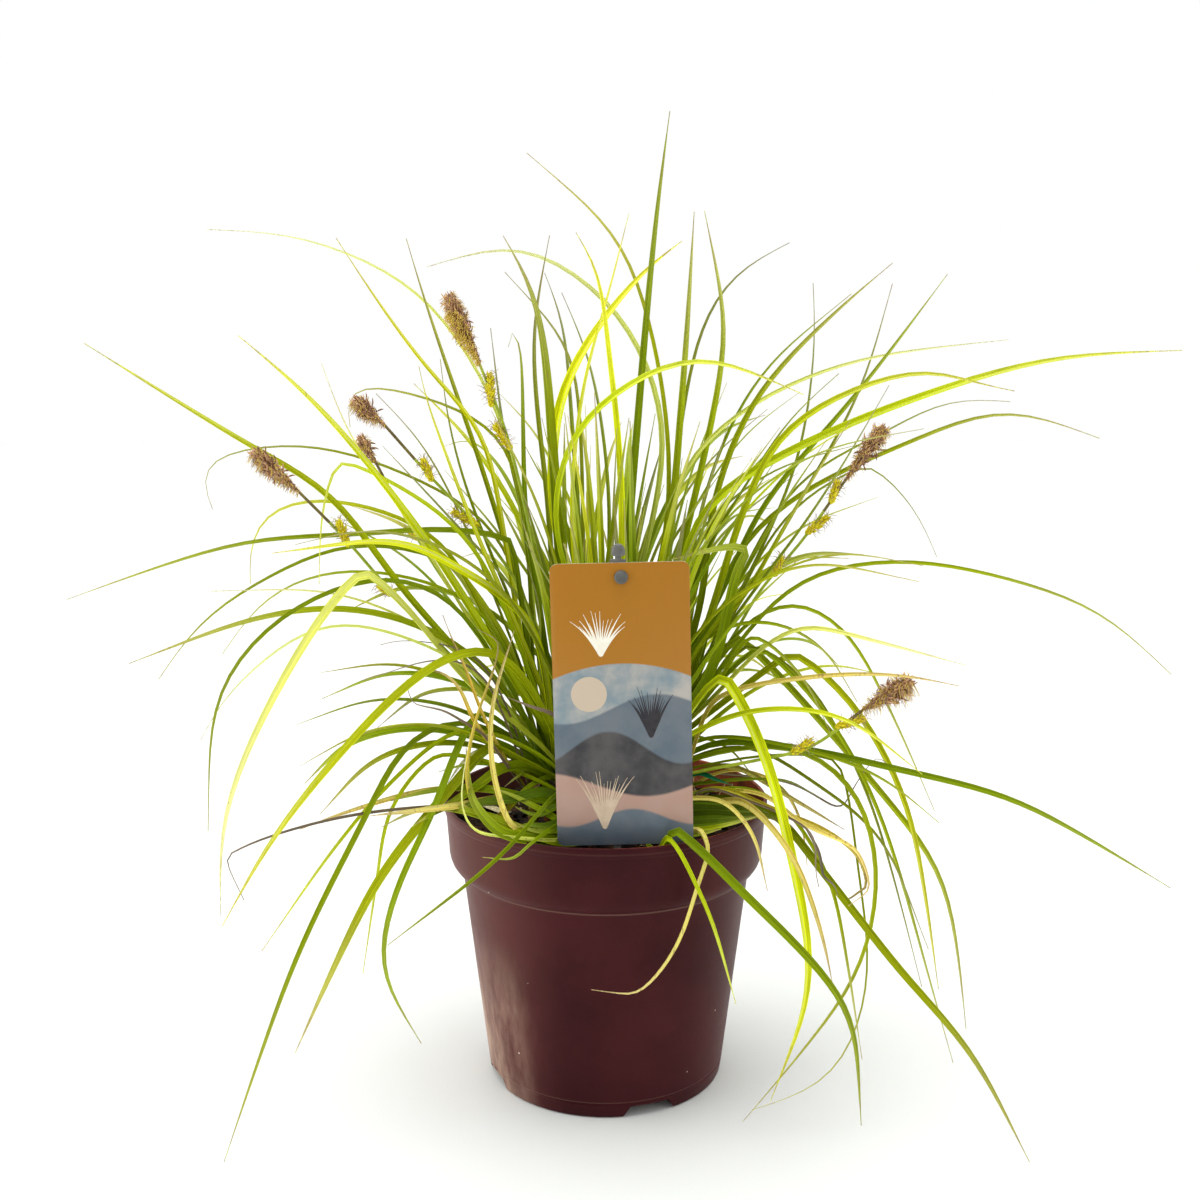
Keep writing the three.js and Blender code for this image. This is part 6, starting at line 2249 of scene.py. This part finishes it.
@dataclass
class StalkPiece:
    """A flower stem dressed: the three-cornered stalk, and its spikelets set with beaked seeds."""

    stem: FlowerStem
    bristles: Bristles
    finishes: list[Material]
    slides: tuple[float, ...] = (0.0, 0.0, 0.0)
    rows: int = 32
    browned_from: int = 29
    seed_rows: float = 1.15
    seeds_round: int = 5
    swell: tuple[float, ...] = (0.25, 0.55, 0.6, 0.42, 0.12)

    def stalk(self, bm: BMesh) -> None:
        """Lay the stalk, with rounded corners.

        Args:
            bm: where it is laid.
        """
        fine = smooth_line(self.stem.line, np.linspace(0, 1, self.rows + 1))
        ahead, normals = carried_frames(fine[None], np.array([len(fine)]), np.array([[0.0, -1.0, 0.0]]))
        across, normal = np.cross(ahead[0], normals[0]), normals[0]

        def place(x: float, y: float, share: float) -> np.ndarray:
            """A point of the stalk's skin."""
            row, angle = round(share * self.rows), math.atan2(y, x)
            radius = mix(STEM_RADIUS, STEM_TOP, share) * (0.80 + 0.14 * math.cos(3 * (angle - math.pi / 2)))
            return fine[row] + around(angle, across[row], normal[row]) * radius

        lay_rod(bm, unit_rod(9, self.rows), place)
        for face in bm.faces:
            if face.calc_center_median().z > fine[self.browned_from][2]:
                face.material_index = StalkPart.BROWNED

    def spikelet(self, bm: BMesh, foot: np.ndarray, way: np.ndarray, radius: float) -> None:
        """Lay a side spikelet: a core set with beaked seeds, with short threads on both sides.

        Args:
            bm: where it is laid.
            foot: where it starts.
            way: how far it goes, and where to.
            radius: its radius.
        """
        tall, draw = float(np.linalg.norm(way)), self.bristles.draw
        ahead = way / tall
        across, normal = square_ways(ahead)
        self.bristles.core(bm, foot, way * 0.94, np.array(self.swell) * radius, StalkPart.SEED)
        rows = max(5, round(tall / self.seed_rows))
        for row in range(rows):
            share = (row + 0.3) / rows
            reach = radius * math.sin(math.pi * (0.12 + 0.80 * share)) * 0.92
            for k in range(self.seeds_round):
                angle = (k + 0.5 * (row % 2)) * 2 * math.pi / self.seeds_round + draw.between(-0.25, 0.25)
                out = around(angle, across, normal)
                base = foot + ahead * (share * tall * 0.88) + out * reach * 0.4
                lean = ahead * draw.between(1.8, 3.2) + out * (reach * 0.4 + draw.between(0.0, 1.1))
                width = draw.between(0.8, 1.2)
                self.bristles.grain(bm, base, lean, out, width, StalkPart.SEED, GrainShape.BEAKED)
                if draw() < 0.8:
                    sweep = out * draw.between(1.2, 3.4) + ahead * draw.between(-0.4, 2.2)
                    curl = ahead * draw.between(-2.2, 1.4) + np.cross(ahead, out) * draw.between(-1.4, 1.4)
                    self.bristles.thread(bm, base + lean * 0.9, sweep, curl, 0.16, StalkPart.THREAD)

    def build(self) -> None:
        """Make the piece, each spikelet moved along by its slide and in towards the stalk."""
        bm = bmesh.new()
        self.stalk(bm)
        axis = smooth_line(self.stem.line, np.linspace(0, 1, 65))
        for (foot, way, radius), slide in zip(self.stem.spikelets, self.slides):
            foot = foot + each_unit(way) * slide
            middle = foot + way * 0.5
            near = axis[int(np.argmin(np.linalg.norm(axis - middle, axis=1)))]
            self.spikelet(bm, foot + (near - middle) * 0.45, way, radius * 0.78)
        name = self.stem.node.replace("flower_stem", "flower_stalk")
        set_down(name, bm, self.finishes, "stem", [self.stem.node], outward=False)


@dataclass
class MaleSpike:
    """The spike at a stem's end: brown scales in a spindle, and stamens and threads all round it. Painted
    light gives the scales that face the light the paler finish more often and, where asked, more and longer
    stamens, all cream; painted shade leaves the low side away from the light with few threads, so it shows
    dark.
    """

    stem: FlowerStem
    bristles: Bristles
    finishes: list[Material]
    # painted light: whether the side facing the light gets more and longer stamens, all cream
    cream_on_lit_side: bool = False
    reach: float = 1.0
    scale_rows: float = 1.05
    scales_round: int = 9
    below: float = -0.1
    lit_from: Point = (-0.8, -0.5, 0.3)
    girths: tuple[tuple[float, ...], ...] = (
        (-0.1, 0.0, 0.2, 0.45, 0.7, 0.88, 1.0), (0.12, 0.22, 0.46, 0.9, 1.0, 0.66, 0.34))

    def girth(self, share: float) -> float:
        """How thick the spike is at a share of its height: slim below and full near its top."""
        return float(np.interp(share, *self.girths))

    def build(self) -> None:
        """Make the piece."""
        bm = bmesh.new()
        way, foot, radius = self.stem.head, self.stem.spike_foot, self.stem.radius
        tall = float(np.linalg.norm(way))
        core = np.array([self.girth(share) for share in self.bristles.shares[:, 0]]) * 0.62
        self.bristles.core(bm, foot, way * 0.97, core * radius, SpikePart.SCALE)
        rows = max(8, round(tall / self.scale_rows))
        for row in range(rows):
            self.ring(bm, row, mix(self.below, 1.0, (row + 0.35) / rows))
        name = self.stem.spike_node.replace("flower_spike", "male_spike")
        set_down(name, bm, self.finishes, "spike", [self.stem.spike_node], outward=False)

    def ring(self, bm: BMesh, row: int, share: float) -> None:
        """Lay one ring of scales, with what stands and hangs between them.

        Args:
            bm: where it is laid.
            row: the ring's number.
            share: the share of the spike's height.
        """
        draw, tall = self.bristles.draw, float(np.linalg.norm(self.stem.head))
        ahead = self.stem.head / tall
        across, normal = square_ways(ahead)
        sunward = square_to(np.array(self.lit_from), ahead)
        reach = self.stem.radius * self.girth(share)
        for k in range(self.scales_round if share > 0.1 else 5):
            angle = (k + 0.5 * (row % 2)) * 2 * math.pi / self.scales_round + draw.between(-0.15, 0.15)
            out = around(angle, across, normal)
            base = self.stem.spike_foot + ahead * (share * tall * 0.93) + out * reach * 0.45
            facing = float(out @ sunward)
            spread = draw.between(0.2, 0.6) + (draw.between(0.3, 1.3) if draw() < 0.25 else 0.0)
            lean = ahead * draw.between(2.4, 3.6) + out * (reach * spread + 0.6 * spread * share)
            # Painted light: scales facing the light, and those high up, get the paler amber finish more
            # often.
            light = draw() < 0.15 + 0.75 * clamp(share * 0.9 + facing * 0.35, 0, 1)
            width = draw.between(0.6, 1.0) * (0.5 + 0.5 * self.girth(share))
            self.bristles.grain(bm, base, lean, out, width, SpikePart.AMBER if light else SpikePart.SCALE)
            if 0.25 < share < 0.75 and draw() < 0.09:
                hanging = out * draw.between(2.0, 3.4) - ahead * draw.between(0.8, 2.6)
                self.bristles.grain(bm, base + out * reach * 0.5, hanging, out, 0.75, SpikePart.SCALE)
            # Painted shade: low on the side away from the light only one thread is laid, so the dark scales
            # show; painted light: on the lit side, where asked, more and longer threads, all cream.
            shaded_side = share < 0.62 and facing < -0.1
            golden = self.cream_on_lit_side and facing > 0.2 and share < 0.75
            for _ in range(1 if shaded_side else 9 if golden else 6):
                if draw() > 0.85:
                    continue
                sway = sum(way * draw.between(-1, 1) for way in (across, normal, ahead))
                stamen = (out * draw.between(1.0, 3.2) * (0.5 + 0.5 * share) + sway * 0.9) * self.reach
                tip = base + out * reach * 0.4 + ahead * draw.between(0.2, 1.6)
                part = SpikePart.STAMEN
                if golden:
                    stamen = stamen * 1.25
                elif draw() >= 0.3:
                    part = SpikePart.AMBER if draw() < 0.5 else SpikePart.THREAD
                hang = np.array([0, 0, -draw.between(0.2, 1.6) * self.reach])
                thick = draw.between(0.14, 0.22) if part == SpikePart.STAMEN else 0.13
                self.bristles.thread(bm, tip, stamen, hang, thick, part)


# ---- studio


@dataclass
class Studio:
    """A pale floor, soft light from the left, and the camera."""

    place: Point = (-0.0025, -0.620, 0.3229)
    tilt: float = 79.69
    lens: float = 44.43
    floor_radius: float = 4.0
    floor_thick: float = 0.02
    floor_gap: float = 0.0002
    even_light: float = 0.68
    white: Colour = (1, 1, 1, 1)
    sun_place: Point = (-0.12, 0.28, 1.8)
    sheets: tuple[tuple[str, float, float], ...] = (("left_sheet", -1.1, 8.0), ("right_sheet", 1.1, 4.5))

    def floor(self) -> None:
        """Lay a wide thin disc under the pot."""
        bm = bmesh.new()
        bmesh.ops.create_cone(bm, cap_ends=True, segments=96, radius1=self.floor_radius,
                              radius2=self.floor_radius, depth=self.floor_thick)
        bmesh.ops.translate(bm, vec=(0, 0, -self.floor_thick / 2 - self.floor_gap), verts=bm.verts)
        disc = put_in_scene("studio_floor", mesh_of(bm, "studio_floor"))
        disc.data.materials.append(StageFinish().make())

    @staticmethod
    def light(name: str, kind: str, place: Point, aim: Point, **settings: float | str) -> None:
        """Hang a light.

        Args:
            name: its name.
            kind: what light it is.
            place: where it hangs, in metres; a sun shines from the way that it lies in.
            aim: the point that it looks at.
            settings: the light's own settings.
        """
        light = bpy.data.lights.new(name, kind)
        for key, value in settings.items():
            setattr(light, key, value)
        lamp = put_in_scene(name, light)
        lamp.location = place
        lamp.rotation_euler = (Vector(aim) - Vector(place)).to_track_quat("-Z", "Y").to_euler()

    def sky(self) -> None:
        """Set even light all round, dimmer in what mirrors the front, and plain white behind everything."""
        world = bpy.data.worlds.new("studio")
        bpy.context.scene.world = world
        world.use_nodes = True
        tree = world.node_tree
        tree.nodes.clear()
        backward = Field.of(tree, "TexCoord", {}, "Generated").parts()[1].step(-0.6, 0.3) * 0.95 + 0.05
        surface = Field.of(tree, "Background", {0: self.white, 1: self.even_light})
        for ray, strength in (("Is Glossy Ray", backward), ("Is Camera Ray", 1.0)):
            sheet = Field.of(tree, "Background", {0: self.white, 1: strength})
            seen = Field.of(tree, "LightPath", {}, ray)
            surface = Field.of(tree, "MixShader", {0: seen, 1: surface, 2: sheet})
        feed(tree.nodes.new("ShaderNodeOutputWorld").inputs[0], surface)

    def camera(self) -> None:
        """Set the camera up, square to the label's foot."""
        eye = bpy.data.cameras.new("studio_camera")
        eye.lens, eye.sensor_width = self.lens, 36.0
        holder = put_in_scene("studio_camera", eye)
        holder.location = self.place
        holder.rotation_euler = (self.tilt * DEGREE, 0, 0)
        bpy.context.scene.camera = holder

    def build(self) -> None:
        """Set it all up."""
        self.floor()
        self.sky()
        self.light("key", "SUN", self.sun_place, (0, 0, 0), energy=2.4, angle=70 * DEGREE)
        for name, x, power in self.sheets:
            self.light(name, "AREA", (x, -0.2, 0.45), (0, 0, 0.08), shape="RECTANGLE", size=1.2, size_y=0.9,
                       energy=power)
        self.camera()
        bpy.context.scene.view_settings.view_transform = "Standard"


# ---- the whole


def build_leaves() -> None:
    """Build the tillers, the dry bunches and the low leaves."""
    clump = Clump()
    clump.build()
    bed = BladeBed()
    green = LeafFinish("leaf_skin", 0.42, shade(150, 120, 90), 0.02, 0.0).make()
    straw = LeafFinish("straw_skin", 0.6, shade(140, 110, 80), 0.12, 0.0).make()
    for tiller in clump.tillers:
        leaves = [leaf for leaf in clump.leaves if leaf.node == tiller.node]
        LeafTuft(tiller, leaves, bed, *((straw, "straw") if tiller.dry else (green, "leaf"))).build()
    LowLeaves("low_leaves_left", LOW_LEFT, bed, green, "leaf").build()
    LowLeaves("low_leaves_right", LOW_RIGHT, bed, green, "leaf").build()
    LowLeaves("low_leaves_dry", LOW_DRY, bed, straw, "straw").build()


def build_stems() -> None:
    """Build the flower stems and the spikes at their ends."""
    bristles = Bristles(Draw(99))
    stalk, browned, seed, thread, scale, amber, stamen = (finish.make() for finish in (
        SpeckledFinish("stalk_skin", shade(128, 150, 20), shade(168, 182, 40), 0.45, 160),
        SpeckledFinish("browned_stalk", shade(88, 72, 34), shade(116, 104, 40), 0.6, 200),
        SpeckledFinish("seed_skin", shade(206, 186, 6), shade(232, 220, 30), 0.5, 300),
        SpeckledFinish("grey_thread", shade(140, 112, 92), shade(182, 156, 132), 0.8, 400),
        SpeckledFinish("brown_scale", shade(112, 76, 52), shade(160, 114, 80), 0.7, 500),
        SpeckledFinish("amber_scale", shade(188, 142, 102), shade(222, 182, 138), 0.7, 500),
        SpeckledFinish("cream_stamen", shade(212, 178, 66), shade(236, 212, 110), 0.7, 500),
    ))
    for number, row in enumerate(FLOWER_STEMS, 1):
        stem = FlowerStem(number, row)
        tallest, lowest = number == 1, number == len(FLOWER_STEMS)
        stalks = [stalk, seed, thread, stalk if tallest else browned]
        StalkPiece(stem, bristles, stalks, (2.5, -5.5) if tallest else (0.0, 0.0, 0.0)).build()
        MaleSpike(stem, bristles, [scale, amber, stamen, thread], tallest, 1.6 if lowest else 1.0).build()


def main() -> None:
    """Build every piece in order, and remove the meshes that nothing uses."""
    logging.basicConfig(level=logging.INFO, format="%(message)s")
    Pot().build()
    Soil().build()
    PlantLabel().build()
    build_leaves()
    build_stems()
    Studio().build()
    for mesh in [mesh for mesh in bpy.data.meshes if not mesh.users]:
        bpy.data.meshes.remove(mesh)
    bpy.context.view_layer.update()


if __name__ == "__main__":
    main()
